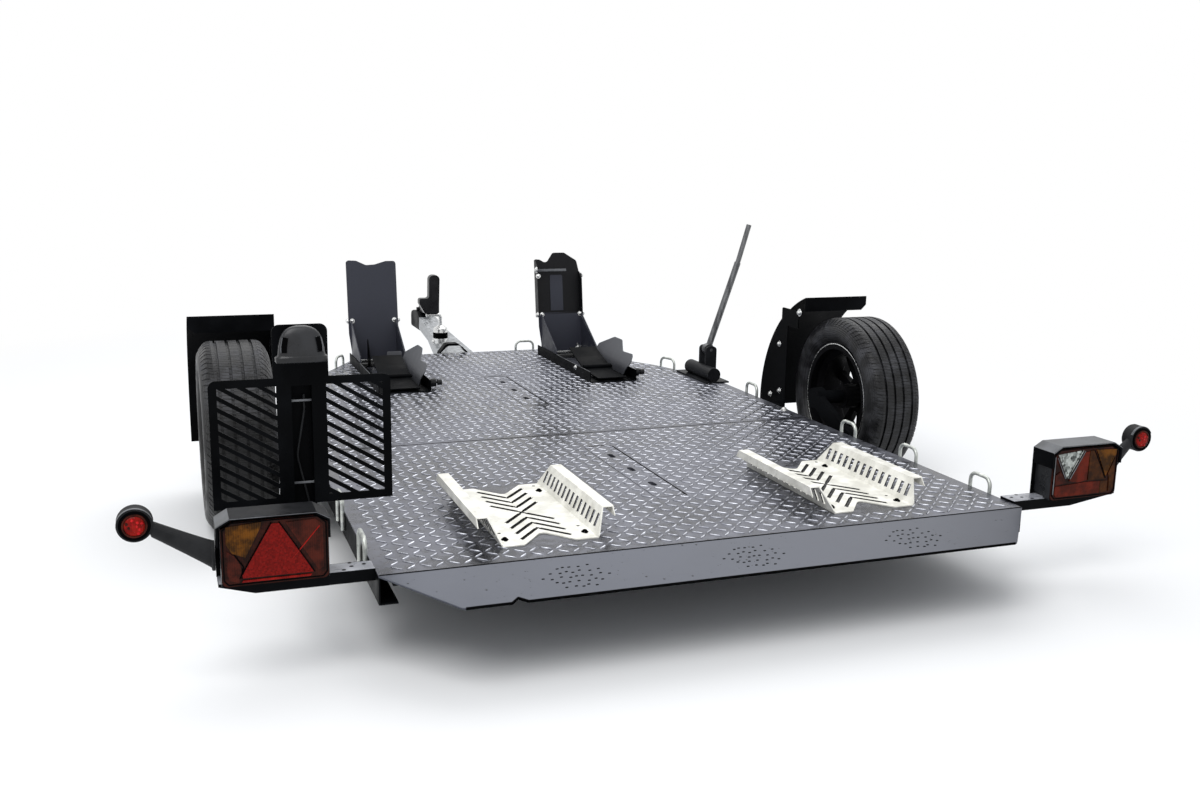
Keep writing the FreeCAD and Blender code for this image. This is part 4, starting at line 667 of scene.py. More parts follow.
lipMarks = {
    "middles": (-0.40, 0.01, 0.42), "across": 9, "rows": 5, "stepX": 0.017, "stepY": 0.019,
    "long": 0.0075, "wide": 0.0045, "high": 0.0007, "from": -0.122, "plate": 0.004,
    "dash": [(-1, -0.5), (-0.6, -1), (0.7, -0.8), (1, 0.3), (0.5, 1), (-0.7, 0.8)],
    "notch": -0.541, "notchHalf": 0.017, "notchDeep": 0.016, "corner": 0.142,
    "edgeWide": 0.0030, "edgeHigh": 0.0054,
}


def lipGrip():
    # three lozenges of small raised dashes on the lip, which slopes down to the rear
    m = lipMarks
    low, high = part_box("loading_lip")
    slope = (high.z - low.z - m["plate"]) / (high.y - low.y)
    tilt = Matrix.Rotation(math.atan(slope), 4, "X")
    heap = Heap("soot")
    shape = prism([(x * m["long"] / 2, y * m["wide"] / 2) for x, y in m["dash"]], m["high"])
    for middle in m["middles"]:
        for row in range(m["rows"]):
            reach = m["across"] - 2 * abs(row - (m["rows"] - 1) / 2)
            for column in range(int(reach)):
                x = middle + (column - (reach - 1) / 2) * m["stepX"]
                x += 0.004 * math.sin(row * 2.1 + column * 1.3)
                distance = m["from"] + row * m["stepY"] + 0.003 * math.sin(row + column * 2.7)
                z = high.z + distance * slope - 0.0004
                heap.add(*shape, Matrix.Translation((x, station(distance), z)) @ tilt)
    # the dark rolled edge along the rear, broken by its notch
    n, half = m["notch"], m["notchHalf"]
    line = [(low.x + m["corner"], 0), (n - half, 0), (n, m["notchDeep"])]
    line += [(n + half, 0), (high.x - m["corner"], 0)]
    line = [(x, low.y - 0.0004 + back, low.z + 0.0026 + back * slope) for x, back in line]
    for start, end in zip(line, line[1:]):
        heap.add(*bar(start, end, m["edgeWide"], m["edgeHigh"]))
    heap.piece("lipGripMarks", "lip_plate")


treadLugs()
deckSeams()
lipGrip()
print("deck surface made")

tyreBlocks = {
    "around": 82, "share": 0.80, "slant": 0.016, "rows": 4,
    "foot": [(0.0600, 0.2616), (0.0660, 0.2598), (0.0710, 0.2576), (0.0760, 0.2528), (0.0820, 0.2447),
             (0.0870, 0.2379)],
    "top": [(0.0606, 0.2624), (0.0668, 0.2610), (0.0722, 0.2588), (0.0773, 0.2540), (0.0832, 0.2457),
            (0.0878, 0.2386)],
}


def shoulderBlocks():
    # raised blocks along both shoulders of each tyre, with slots between them
    t = tyreBlocks
    for side in ("right", "left"):
        low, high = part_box("tyre_" + side)
        middle = (low + high) / 2
        heap = Heap("tyre" + side.title())
        count = len(t["top"])
        for way in (-1, 1):
            for number in range(t["around"]):
                points = []
                for profile in (t["foot"], t["top"]):
                    for step in range(t["rows"]):
                        for k, (across, reach) in enumerate(profile):
                            part = (step / (t["rows"] - 1) - 0.5) * t["share"]
                            angle = 2 * math.pi * (number + part) / t["around"] + way * t["slant"] * k
                            points.append((middle.x + way * across, middle.y + reach * math.cos(angle),
                                           middle.z + reach * math.sin(angle)))
                top = count * t["rows"]
                faces = []
                for step in range(t["rows"] - 1):
                    for k in range(count - 1):
                        a = top + step * count + k
                        faces.append((a, a + 1, a + count + 1, a + count))
                rim = list(range(count)) + [step * count + count - 1 for step in range(1, t["rows"])]
                rim += list(range(count * t["rows"] - 2, count * (t["rows"] - 1) - 1, -1))
                rim += [step * count for step in range(t["rows"] - 2, 0, -1)]
                faces += [(a, b, b + top, a + top) for a, b in zip(rim, rim[1:] + rim[:1])]
                heap.add(points, faces)
        heap.piece("shoulderBlocks" + side.title(), "tyre_rubber", "wheel_" + side)


wheelFittings = {
    "bolts": 5, "circle": 0.049, "outer": 0.048, "size": 0.011,
    "ring": [(-0.0006, 0), (-0.0002, 0.0009), (-0.0028, 0.0012), (-0.0032, 0)],
}


def boltWheels():
    # the wheel bolts and a thin bright ring round both faces of each rim
    w = wheelFittings
    for side, way in (("right", 1), ("left", -1)):
        low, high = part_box("rim_" + side)
        middle = (low + high) / 2
        reach = (high.z - low.z) / 2
        heap = Heap("bright")
        for k in range(w["bolts"]):
            angle = 2 * math.pi * (k + 0.25) / w["bolts"]
            y, z = middle.y + w["circle"] * math.cos(angle), middle.z + w["circle"] * math.sin(angle)
            screw(heap, (middle.x + way * w["outer"], y, z), (way, 0, 0), w["size"])
        for face, direction in ((high.x, 1), (low.x, -1)):
            there = facing((direction, 0, 0), (face - direction * 0.0004, middle.y, middle.z))
            heap.add(*tube([(reach + out, up) for out, up in w["ring"]], 96), there)
        heap.piece("wheelFittings" + side.title(), "bright_steel", "wheel_" + side)


shoulderBlocks()
boltWheels()
print("wheels dressed")

deckScrews = {
    "domes": [(0.777, 1.172)], "domeSize": 0.013,
    "fenderTab": [(1.255, 0.316, 0.013), (1.384, 0.189, 0.011), (1.368, 0.024, 0.011), (1.433, 0.0, 0.011)],
    "cradle": [0.135, 0.48], "cradleX": 0.0935, "cradleSize": 0.0085,
}


def deckFastenings():
    # dome screws on the deck, on the fender brackets and in the cradles, and painted shade along the cradle
    # slots
    d = deckScrews
    heap = Heap("bright")
    for x, distance in d["domes"]:
        for side in (-1, 1):
            screw(heap, (side * x, station(distance), deckTop), (0, 0, 1), d["domeSize"], domed=True)
    for side, plate in ((1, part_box("fender_bracket_right")), (-1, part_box("fender_bracket_left"))):
        face = plate[1].x if side > 0 else plate[0].x
        for distance, up, size in d["fenderTab"]:
            at = (face - side * 0.0025, station(distance), deckTop + up)
            screw(heap, at, (-side, 0, 0), size, domed=True)
    for name in ("wheel_cradle_left", "wheel_cradle_right"):
        low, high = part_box(name)
        for distance in d["cradle"]:
            for way in (-1, 1):
                at = ((low.x + high.x) / 2 + way * d["cradleX"], station(distance), deckTop + 0.0022)
                screw(heap, at, (0, 0, 1), d["cradleSize"], domed=True, finish="soot")
        slotShadeLines(heap, (low + high) / 2)
    heap.piece("deckScrews", "bright_steel")


def slotShadeLines(heap, middle):
    # painted shade: a fine dark line along both sides of every slot, two crossed ones, and three chevrons each
    # way
    c = cradleSlots
    lines = []
    for side in (-1, 1):
        lines += [((side * c["half"], way * c["rise"]), (side * 0.009, way * 0.011)) for way in (-1, 1)]
        for way in (-1, 1):
            for number in (1, 2, 3):
                tip = way * c["pitch"] * number
                lines.append(((side * c["half"], tip + way * c["rise"]), (side * 0.005, tip + way * 0.006)))
    for (x0, y0), (x1, y1) in lines:
        off = Vector((y0 - y1, x1 - x0)).normalized() * c["edgeOff"]
        for way in (-1, 1):
            ends = [(middle.x + x + way * off.x, middle.y + y + way * off.y, deckTop + c["plate"])
                    for x, y in ((x0, y0), (x1, y1))]
            heap.add(*bar(*ends, c["edgeWide"], c["edgeHigh"]), finish="soot")


# A bolt of an upright: across, into the plate, up, the way it points, its size.
chockParts = {
    "foot": 0.6, "lean": 8, "railBolt": (0.161, 0.030, 0.010), "railLong": (0.004, 0.40),
    "bothBolts": [(0.0985, 0.008, 0.170, (1, 0, 0), 0.012), (0.083, -0.0002, 0.170, (0, -1, 0), 0.0095)],
    "rightBolts": [(-0.0985, 0.004, 0.356, (-1, 0, 0), 0.013), (-0.094, -0.001, 0.330, (-0.3, -1, 0), 0.010),
                   (0.0985, 0.012, 0.330, (1, 0, 0), 0.012), (0.070, -0.003, 0.030, (0, -1, 0), 0.0085)],
    "leftBolts": [(0.072, -0.0002, 0.030, (0, -1, 0), 0.011), (0.092, -0.004, 0.032, (0.4, -1, 0), 0.008)],
    "gusset": ((0.0875, -0.013, 0.158), (0.0875, -0.186, 0.032)),
    "footLine": ((-0.084, -0.004, 0.012), (0.060, -0.004, 0.012)),
    "crossLine": ((-0.098, -0.002, 0.354), (0.028, -0.002, 0.354)),
    "glintCross": [((0.074, -0.004, 0.013), (0.066, -0.004, 0.047)),
                ((0.054, -0.004, 0.026), (0.086, -0.004, 0.034))],
}


def chockFrame(side):
    # the leaning frame of an upright: X across, Y into the plate, Z up it
    low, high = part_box("chock_base_" + side)
    foot = ((low.x + high.x) / 2, low.y + chockParts["foot"], deckTop + 0.003)
    return Matrix.Translation(foot) @ Matrix.Rotation(math.radians(-chockParts["lean"]), 4, "X")


def chockFittings():
    # bolts, pale edge lines and the foot line of both chocks, and a painted glint cross on a bolt of the right
    # one
    c = chockParts
    for side in ("left", "right"):
        low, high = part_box("chock_base_" + side)
        lean = chockFrame(side)
        heap = Heap("bright")
        for across, into, up, direction, size in c["bothBolts"]:
            for way in (-1, 1):
                turned = Vector((way * direction[0], direction[1], direction[2]))
                screw(heap, lean @ Vector((way * across, into, up)), lean.to_3x3() @ turned, size, domed=True)
        for across, into, up, direction, size in c[side + "Bolts"]:
            screw(heap, lean @ Vector((across, into, up)), lean.to_3x3() @ Vector(direction), size, domed=True)
        for way in (-1, 1):
            edge = [lean @ Vector((way * x, y, z)) for x, y, z in c["gusset"]]
            heap.add(*bar(*edge, 0.0034, 0.0024), finish="edge")
            distance, up, size = c["railBolt"]
            outside = high.x if way > 0 else low.x
            screw(heap, (outside, low.y + distance, deckTop + up), (way, 0, 0), size, domed=True)
            rail = [(outside - way * 0.0015, low.y + distance, deckTop + 0.0403) for distance in c["railLong"]]
            heap.add(*bar(*rail, 0.0026, 0.0008), finish="edge")
        heap.add(*bar(*[lean @ Vector(end) for end in c["footLine"]], 0.004, 0.009))
        if side == "right":
            heap.add(*bar(*[lean @ Vector(end) for end in c["crossLine"]], 0.004, 0.010), finish="edge")
            # painted highlight: two crossed bright bars for the glint on a bolt
            for ends in c["glintCross"]:
                heap.add(*bar(*[lean @ Vector(end) for end in ends], 0.0055, 0.0045, (0, -1, 0)))
        heap.piece("chockFittings" + side.title(), "bright_steel")


channel = {
    "outline": [(-0.032, 0.186), (0.023, 0.186), (0.023, 0.330), (0.018, 0.335), (-0.027, 0.335),
                (-0.032, 0.330)],
    "into": 0.0372, "thick": 0.0022,
}


def channelStrip():
    # the lighter strip down the middle of the stepped upright's channel, in unshaded slate amid the painted
    # shade above the step
    heap = Heap("slateLeft")
    strip = prism(channel["outline"], channel["thick"])
    heap.add(*strip, chockFrame("right") @ upright(0, channel["into"], 0))
    heap.piece("channelStrip", "chock_plate")


chockStop = {
    "fromRail": 0.054, "along": 0.40, "thick": 0.0025, "foot": 0.0032,
    "box": [(-0.028, 0.0), (0.028, 0.0), (0.028, 0.074), (0.025, 0.078), (-0.025, 0.078), (-0.028, 0.074)],
    "finFromRail": 0.126, "finAlong": 0.585, "finThick": 0.003,
    "fin": [(0, 0), (0.075, 0), (0.055, 0.04), (0.012, 0.096), (0.004, 0.1), (0, 0.09)],
}


def leftChockStop():
    # the grey stop plate and the dark fin that stand inside the left chock
    c = chockStop
    low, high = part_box("chock_base_left")
    foot = deckTop + c["foot"]
    heap = Heap("wing")
    heap.add(*prism(c["box"], c["thick"]), upright(high.x - c["fromRail"], low.y + c["along"], foot))
    lengthwise = Matrix(((0, 0, 1, 0), (-1, 0, 0, 0), (0, 1, 0, 0), (0, 0, 0, 1)))
    fin = Matrix.Translation((high.x - c["finFromRail"], low.y + c["finAlong"], foot)) @ lengthwise
    heap.add(*prism(c["fin"], c["finThick"]), fin, "black")
    heap.piece("chockStop", "chock_plate")


deckFastenings()
chockFittings()
channelStrip()
leftChockStop()
print("screws and chock fittings placed")

lampFace = {
    "proud": 0.0022, "gap": 0.0002, "rightFrom": 0.8879, "line": (0.0022, 0.0016), "border": (0.0024, 0.003),
}
lampZones = {
    "Left": [
        ("amber", [(0.05, 0.93), (0.38, 0.97), (0.36, 0.86), (0.22, 0.44), (0.10, 0.52), (0.05, 0.66)]),
        ("redDeep", [(0.05, 0.56), (0.12, 0.48), (0.17, 0.34), (0.19, 0.12), (0.15, 0.06), (0.07, 0.10),
                     (0.05, 0.2)]),
        ("triangle", [(0.17, 0.12), (0.85, 0.12), (0.55, 0.93), (0.46, 0.93)]),
        ("red", [(0.18, 0.055), (0.82, 0.055), (0.83, 0.085), (0.19, 0.085)]),
        ("redDeep", [(0.60, 0.93), (0.88, 0.95), (0.95, 0.86), (0.95, 0.18), (0.90, 0.14)]),
    ],
    "Right": [
        ("clear", [(0.07, 0.90), (0.42, 0.95), (0.22, 0.42)]),
        ("redDeep", [(0.05, 0.50), (0.12, 0.56), (0.21, 0.36), (0.24, 0.33), (0.05, 0.30)]),
        ("redBand", [(0.26, 0.36), (0.47, 0.90), (0.54, 0.92), (0.53, 0.35), (0.40, 0.32)]),
        ("redBand", [(0.05, 0.27), (0.52, 0.31), (0.74, 0.305), (0.74, 0.07), (0.08, 0.06), (0.05, 0.12)]),
        ("brown", [(0.745, 0.305), (0.86, 0.30), (0.86, 0.08), (0.745, 0.07)]),
        ("brown", [(0.55, 0.93), (0.62, 0.93), (0.80, 0.36), (0.84, 0.34), (0.55, 0.34)]),
        ("amber", [(0.65, 0.94), (0.96, 0.92), (0.96, 0.84), (0.82, 0.40)]),
        ("brown", [(0.95, 0.76), (0.95, 0.14), (0.89, 0.08), (0.88, 0.34), (0.86, 0.44)]),
    ],
}
lampLines = {
    "Left": [((0.65, 0.35), (0.92, 0.84), "red"), ((0.12, 0.50), (0.20, 0.30), "soot"),
             ((0.20, 0.30), (0.17, 0.14), "soot"), ((0.16, 0.12), (0.47, 0.95), "soot"),
             ((0.86, 0.12), (0.54, 0.95), "soot")],
    "Right": [((0.27, 0.40), (0.47, 0.93), "edge"), ((0.24, 0.42), (0.44, 0.95), "clear"),
              ((0.20, 0.42), (0.06, 0.84), "edge"), ((0.025, 0.12), (0.025, 0.86), "edge"),
              ((0.61, 0.94), (0.82, 0.36), "soot"), ((0.83, 0.46), (0.93, 0.80), "amber")],
}
lampBorder = [(0.02, 0.10), (0.06, 0.03), (0.94, 0.03), (0.98, 0.10), (0.98, 0.88), (0.90, 0.985),
              (0.10, 0.985), (0.02, 0.88), (0.02, 0.10)]


def lampLenses():
    # the coloured fields, thin lines and dark border on each lens, in shares of its width and height
    low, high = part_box("tail_lamp_lenses")
    wide, tall = high.x - lampFace["rightFrom"], high.z - low.z
    proud = lampFace["proud"]
    face = low.y - lampFace["gap"]
    for side, left in (("Left", low.x), ("Right", lampFace["rightFrom"])):
        heap = Heap("soot")
        for key, outline in lampZones[side]:
            corners = [(a * wide, b * tall) for a, b in outline]
            sides = zip(corners, corners[1:] + corners[:1])
            area = sum(x0 * y1 - x1 * y0 for (x0, y0), (x1, y1) in sides)
            corners = corners if area > 0 else corners[::-1]
            heap.add(*prism(corners, proud), upright(left, face, low.z), key)
        for start, end, key in lampLines[side]:
            ends = [(left + a * wide, face - proud, low.z + b * tall) for a, b in (start, end)]
            heap.add(*bar(*ends, *lampFace["line"], (0, -1, 0)), finish=key)
        for border in zip(lampBorder, lampBorder[1:]):
            ends = [(left + a * wide, face, low.z + b * tall) for a, b in border]
            heap.add(*bar(*ends, *lampFace["border"], (0, -1, 0)))
        heap.piece("lampZones" + side, "red_lens")


# The profiles give (radius, height) from a face of the head.
markerLamp = {
    "raised": 0.005, "deep": 0.036, "headAlong": 0.090, "headIn": 0.034, "bend": {-1: 0, 1: 0.021},
    "armStart": (1.1012, 0.060, 0.2640), "armEnd": (1.2200, 0.088, 0.3230),
    "tall": (0.0300, 0.0190), "thick": (0.0160, 0.0130), "rings": 9, "sides": 24,
    "collar": [(0.0300, -0.0005), (0.0300, 0.004), (0.0285, 0.006)],
    "edge": [(0.0290, 0), (0.0330, 0.001), (0.0340, 0.004)], "waist": (0.0335, 0),
    "rim": [(0.0336, -0.0004), (0.0342, 0.001), (0.0342, 0.006), (0.0336, 0.007)], "rimAbove": 0.012,
    "seat": [(0.0300, -0.001), (0.0294, 0.0024), (0.0250, 0.0028), (0.0240, 0.0004)],
    "lensRim": [(0.0240, 0), (0.0236, 0.0022), (0.0205, 0.0034), (0.0195, 0.0020)],
    "lens": [(0.0198, 0.0018), (0.0170, 0.0040), (0.0090, 0.0056), (0.0030, 0.0060)],
    "gem": [(0.0040, 0), (0.0034, 0.0016), (0.0012, 0.0024)], "gems": 11, "gemTurn": 2.4,
    "gemFinishes": ("sparkle", "sparkle", "red", "sparkle", "redDeep"),
}


def flexArm(heap, way):
    # a flattened arm that tapers and rises outwards from a round collar
    m = markerLamp
    start, end = Vector(m["armStart"]), Vector(m["armEnd"])
    start.y, end.y = station(start.y), station(end.y)
    points = []
    for row in range(m["rings"]):
        share = row / (m["rings"] - 1)
        at = start.lerp(end, share)
        tall = m["tall"][0] + (m["tall"][1] - m["tall"][0]) * share ** 0.8
        thick = m["thick"][0] + (m["thick"][1] - m["thick"][0]) * share
        for k in range(m["sides"]):
            angle = 2 * math.pi * k / m["sides"]
            across = at.x - m["bend"][way] * share + 0.25 * tall * math.sin(angle) * share
            points.append((way * across, at.y + thick * math.cos(angle), at.z + tall * math.sin(angle)))
    faces = [tuple(range(m["sides"])), tuple(reversed(range(len(points) - m["sides"], len(points))))]
    for row in range(m["rings"] - 1):
        for k in range(m["sides"]):
            a, b = row * m["sides"] + k, row * m["sides"] + (k + 1) % m["sides"]
            faces.append((a, a + m["sides"], b + m["sides"], b))
    heap.add(points, faces)
    heap.add(*lathe(m["collar"], 32), facing((way, 0, 0), (way * (start.x + 0.001), start.y, start.z)))


def lampHead(arms, lenses, at):
    # a round head, its rear rim pale along the top as a painted highlight, with a lens of loose facets on both
    # faces
    m = markerLamp
    half = m["deep"] / 2
    rim, faces = tube([(reach, up - half) for reach, up in m["rim"]], 48)
    upper = [face for face in faces if min(rim[k][1] for k in face) > m["rimAbove"]]
    # painted highlight: a pale arc on the upper rim
    arms.add(rim, upper, facing((0, 1, 0), at), "edge")
    head = [(reach, up - half) for reach, up in m["edge"]] + [m["waist"]]
    head += [(reach, half - up) for reach, up in reversed(m["edge"])]
    arms.add(*lathe(head, 48), facing((0, 1, 0), at))
    for direction, glass, rimGlass in ((-1, "red", "redDeep"), (1, "clear", "clear")):
        face = facing((0, direction, 0), (at[0], at[1] + direction * half, at[2]))
        arms.add(*lathe(m["seat"], 40), face, "soot")
        lenses.add(*lathe(m["lensRim"], 40), face, rimGlass)
        lenses.add(*lathe(m["lens"], 13), face, glass)
        for k in range(m["gems"]):
            angle = m["gemTurn"] * k
            reach = 0.0035 + 0.0125 * (k / (m["gems"] - 1)) ** 0.7
            tilt = Matrix.Rotation(angle * 1.7, 4, "Z")
            spot = (reach * math.cos(angle), reach * math.sin(angle), 0.0044 - reach * 0.06)
            shade = m["gemFinishes"][k % 5] if glass == "red" else glass
            lenses.add(*lathe(m["gem"], 5), face @ Matrix.Translation(spot) @ tilt, shade)


def markerLamps():
    # the flexible arms with their round heads; the right arm is bent inwards
    m = markerLamp
    low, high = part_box("marker_lenses")
    arms, lenses = Heap("rubber"), Heap("red")
    for way in (-1, 1):
        flexArm(arms, way)
        across = high.x - m["headIn"] - m["bend"][way]
        lampHead(arms, lenses, (way * across, station(m["headAlong"]), (low.z + high.z) / 2 + m["raised"]))
    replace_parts(arms.piece("markerLampArms", "arm_rubber"), "marker_arms")
    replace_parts(lenses.piece("markerLampLenses", "red_lens"), "marker_lenses")


lampHood = {
    "from": 0.8839, "to": 1.1002, "rear": 0.0084, "front": 0.0824, "top": 0.3510, "cut": (0.026, 0.015),
    "cheek": 0.055, "sheet": 0.004, "backLow": 0.212, "backInset": 0.0002, "backThick": 0.003,
    "lampSide": {"insets": (0.0035, 0.0076), "along": 0.0262, "below": 0.018, "wide": 0.0236, "thick": 0.0010},
}
lampBeam = {
    "from": 0.7936, "to": 1.0990, "taper": {1: 0.968, -1: 1.030}, "rear": 0.0300, "front": 0.0822,
    "top": 0.2135, "low": 0.1880, "tip": 0.006, "sheenIn": 0.0006, "sheenThick": 0.0006,
    "holes": [(0.812, 0.063), (0.839, 0.078), (0.856, 0.039), (0.838, 0.056)],
    "hole": [(0.0046, 0), (0.0043, 0.0003)],
}


def hoodSection(inset, low, way):
    # a hood seen from the rear: up one side, over two chamfers and down the other
    h = lampHood
    x0, x1, top = h["from"] + inset, h["to"] - inset, h["top"] - inset
    a, c = h["cut"]
    line = [(x0, low), (x0, top - c), (x0 + a, top), (x1 - a, top), (x1, top - c), (x1, low)]
    return [(way * x, z) for x, z in line]


def hoodCap(heap, way):
    # the bent sheet over a lamp, its upper faces pale with painted sky reflection, the chamfer to the left most
    h = lampHood
    cheekLow = h["top"] - h["cheek"]
    outer, inner = hoodSection(0, cheekLow, way), hoodSection(h["sheet"], cheekLow, way)
    rear, front = station(h["rear"]), station(h["front"])
    points = [(x, y, z) for y in (rear, front) for x, z in outer + inner[::-1]]
    count = len(outer) * 2
    for end in (0, 1):
        for k in range(len(outer) - 1):
            a = end * count
            quad = [points[n] for n in (a + k, a + k + 1, a + count - 2 - k, a + count - 1 - k)]
            heap.add(quad, [(0, 1, 2, 3) if (way > 0) == (end == 0) else (3, 2, 1, 0)])
    # painted sky reflection on the top faces: light on the right hood, darker on the left
    tone = "hoodTop" if way > 0 else "hoodTopDark"
    leftChamfer = 2 - way
    for k in range(count):
        quad = [points[n] for n in (k, k + count, (k + 1) % count + count, (k + 1) % count)]
        finish = "hoodTop" if k == leftChamfer else tone if k in (1, 2, 3) else "black"
        heap.add(quad, [(3, 2, 1, 0) if way < 0 else (0, 1, 2, 3)], finish=finish)
    # pale lines along the rear chamfer edges: painted reflection
    for (x0, z0), (x1, z1) in zip(outer[1:4], outer[2:5]):
        ends = [(x0, rear - 0.0003, z0 - 0.0012), (x1, rear - 0.0003, z1 - 0.0012)]
        heap.add(*bar(*ends, 0.0016, 0.0012), finish="edge")


def hoodBack(heap, way):
    # the plate behind a lamp and the dark sides of the lamp below the short cheeks
    h = lampHood
    back = hoodSection(h["backInset"], h["backLow"], way)
    heap.add(*prism(back[::-1] if way < 0 else back, h["backThick"]), upright(0, station(h["front"]), 0))
    s = h["lampSide"]
    for x in (h["from"] + s["insets"][0], h["to"] - s["insets"][1]):
        ends = [(way * x, station(s["along"]), z) for z in (lampBeam["top"], h["top"] - s["below"])]
        heap.add(*bar(*ends, s["wide"], s["thick"], (1, 0, 0)), finish="shell")


def hoodBeam(heap, way):
    # the beam below a lamp, tapered to its end, with a thin pale sheet of painted sky reflection on top and
    # four holes drawn as dark discs of painted shade
    b = lampBeam
    rear, front, top = station(b["rear"]), station(b["front"]), b["top"]
    below = [(b["from"], b["low"]), (b["taper"][way], b["low"]), (b["to"], top - b["tip"]), (b["to"], top),
             (b["from"], top)]
    heap.add(*prism(mirrored(below, way), front - rear), upright(0, front, 0))
    # a thin pale sheet over the top: painted sky reflection
    x0, x1, y0, y1 = b["from"] + b["sheenIn"], b["to"] - b["sheenIn"], rear + 0.0004, front - 0.003
    sheenSheet = mirrored([(x0, y0), (x1, y0), (x1, y1), (x0, y1)], way)
    heap.add(*prism(sheenSheet, b["sheenThick"]), Matrix.Translation((0, 0, top - 0.0001)), "beamTop")
    # dark discs for the holes: painted shade
    for x, distance in b["holes"]:
        at = (way * x, station(distance), top + 0.0004)
        heap.add(*lathe(b["hole"], 16), Matrix.Translation(at), "soot")


def lampHoods():
    # over each lamp a short cap with chamfered corners, and under it its beam
    for side, way in (("right", 1), ("left", -1)):
        heap = Heap("black")
        hoodCap(heap, way)
        hoodBack(heap, way)
        hoodBeam(heap, way)
        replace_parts(heap.piece("lampHood" + side.title(), "black_steel"), "lamp_hood_" + side)


# A row of the dome: share of the height, of the width and of the depth.
# A strip of a window: how far across, its width, how proud it is, its finish.
plateLamp = {
    "rows": [(0.0, 0.98, 0.94), (0.03, 1.0, 1.0), (0.15, 1.0, 1.0), (0.18, 0.93, 0.93), (0.20, 0.90, 0.9),
             (0.45, 0.86, 0.86), (0.66, 0.79, 0.78), (0.80, 0.70, 0.68), (0.90, 0.57, 0.55), (0.96, 0.42, 0.42),
             (1.0, 0.22, 0.24)],
    "sides": 40, "square": 0.62, "window": (0.30, 0.72), "steps": 6,
    "strips": [(0.64, 0.013, 0.0012, "soot"), (0.50, 0.0016, 0.0018, "edge"), (0.80, 0.0016, 0.0018, "edge")],
}


def onPlateLamp(angle, share, wide, deep):
    # a point of the lamp's rounded oblong at a share of its height
    low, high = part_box("plate_lamp")
    middle, half = (low + high) / 2, (high - low) / 2
    across, along = math.cos(angle), math.sin(angle)
    x = middle.x + half.x * wide * math.copysign(abs(across) ** plateLamp["square"], across)
    y = middle.y + half.y * deep * math.copysign(abs(along) ** plateLamp["square"], along)
    return (x, y, low.z + share * (high.z - low.z))


def plateLampDome():
    # a rounded dome on a wider band, with a narrow dark window at each end
    p = plateLamp
    dome = Heap("shell")
    faces = lathe([(1, 0)] * len(p["rows"]), p["sides"])[1]
    turns = [2 * math.pi * k / p["sides"] for k in range(p["sides"])]
    dome.add([onPlateLamp(turn, *row) for row in p["rows"] for turn in turns], faces)
    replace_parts(dome.piece("plateLampDome", "lamp_shell", smooth=True), "plate_lamp")
    windows = Heap("soot")
    start, end = p["window"]
    for way in (-1, 1):
        for inset, wide, proud, finish in p["strips"]:
            angle = math.acos(inset) if way > 0 else math.pi - math.acos(inset)
            line = []
            for step in range(p["steps"]):
                share = start + (end - start) * step / (p["steps"] - 1)
                narrow = 0.88 - 0.30 * max(0, share - 0.45)
                x, y, z = onPlateLamp(-angle, share, narrow, narrow)
                line.append((x + way * 0.001, y - proud, z))
            for ends in zip(line, line[1:]):
                windows.add(*bar(*ends, wide, 0.0022, (way * 0.5, -1, 0)), finish=finish)
    windows.piece("plateLampWindows", "lamp_shell")


holderClips = {"ups": (0.3176, 0.1381), "half": 0.021, "proud": 0.0016, "wide": 0.0026, "high": 0.0045}


def holderFittings():
    # two clips across the post's channel
    c = holderClips
    low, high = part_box("plate_cable")
    middle = (low.x + high.x) / 2
    heap = Heap("edge")
    for up in c["ups"]:
        ends = [(middle + x, low.y - c["proud"], deckTop + up) for x in (-c["half"], c["half"])]
        heap.add(*bar(*ends, c["wide"], c["high"]))
    heap.piece("holderClips", "black_steel")


# The band gives what it stands out from the collar, and its height above the ground.
jockeyBand = {
    "band": [(0.0002, 0.240), (0.0010, 0.242), (0.0010, 0.262), (0.0002, 0.264)],
    "sideBoltUp": 0.226, "sideBoltSize": 0.010, "rearBoltX": 0.01, "rearBoltUp": 0.278, "rearBoltSize": 0.007,
}


def jockeyFittings():
    # the dark band round the collar and the pinch bolts of its bracket
    j = jockeyBand
    low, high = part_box("jockey_collar")
    centre = (low + high) / 2
    reach = (high.x - low.x) / 2
    heap = Heap("soot")
    band = [(reach + out, up) for out, up in j["band"]]
    heap.add(*tube(band, 40), Matrix.Translation((centre.x, centre.y, 0)))
    side = (low.x - 0.0002, centre.y, j["sideBoltUp"])
    screw(heap, side, (-1, 0, 0), j["sideBoltSize"], finish="bright")
    rear = (centre.x + j["rearBoltX"], low.y - 0.0002, j["rearBoltUp"])
    screw(heap, rear, (0, -1, 0), j["rearBoltSize"], finish="bright")
    heap.piece("jockeyFittings", "bright_steel")


lampLenses()
markerLamps()
lampHoods()
plateLampDome()
holderFittings()
jockeyFittings()
print("lamps, plate holder and jockey wheel dressed")

view = {
    "place": (-1.1769, -3.8991, 1.0524), "yaw": 0.3580, "pitch": -0.2064, "roll": 0.0167,
    "focal": 1190.711, "width": 1200,
}
studio = {
    "floor": 40, "half": (0.55, 1.1), "fadeFrom": 1.1, "fadeTo": 2.6, "skyTint": (0.93, 0.96, 1.0), "sky": 0.72,
}
lamps = [("keyLamp", (-2.5, -3.5, 5.0), 4.0, 190), ("skyLamp", (1.5, 2.5, 5.5), 6.0, 170)]


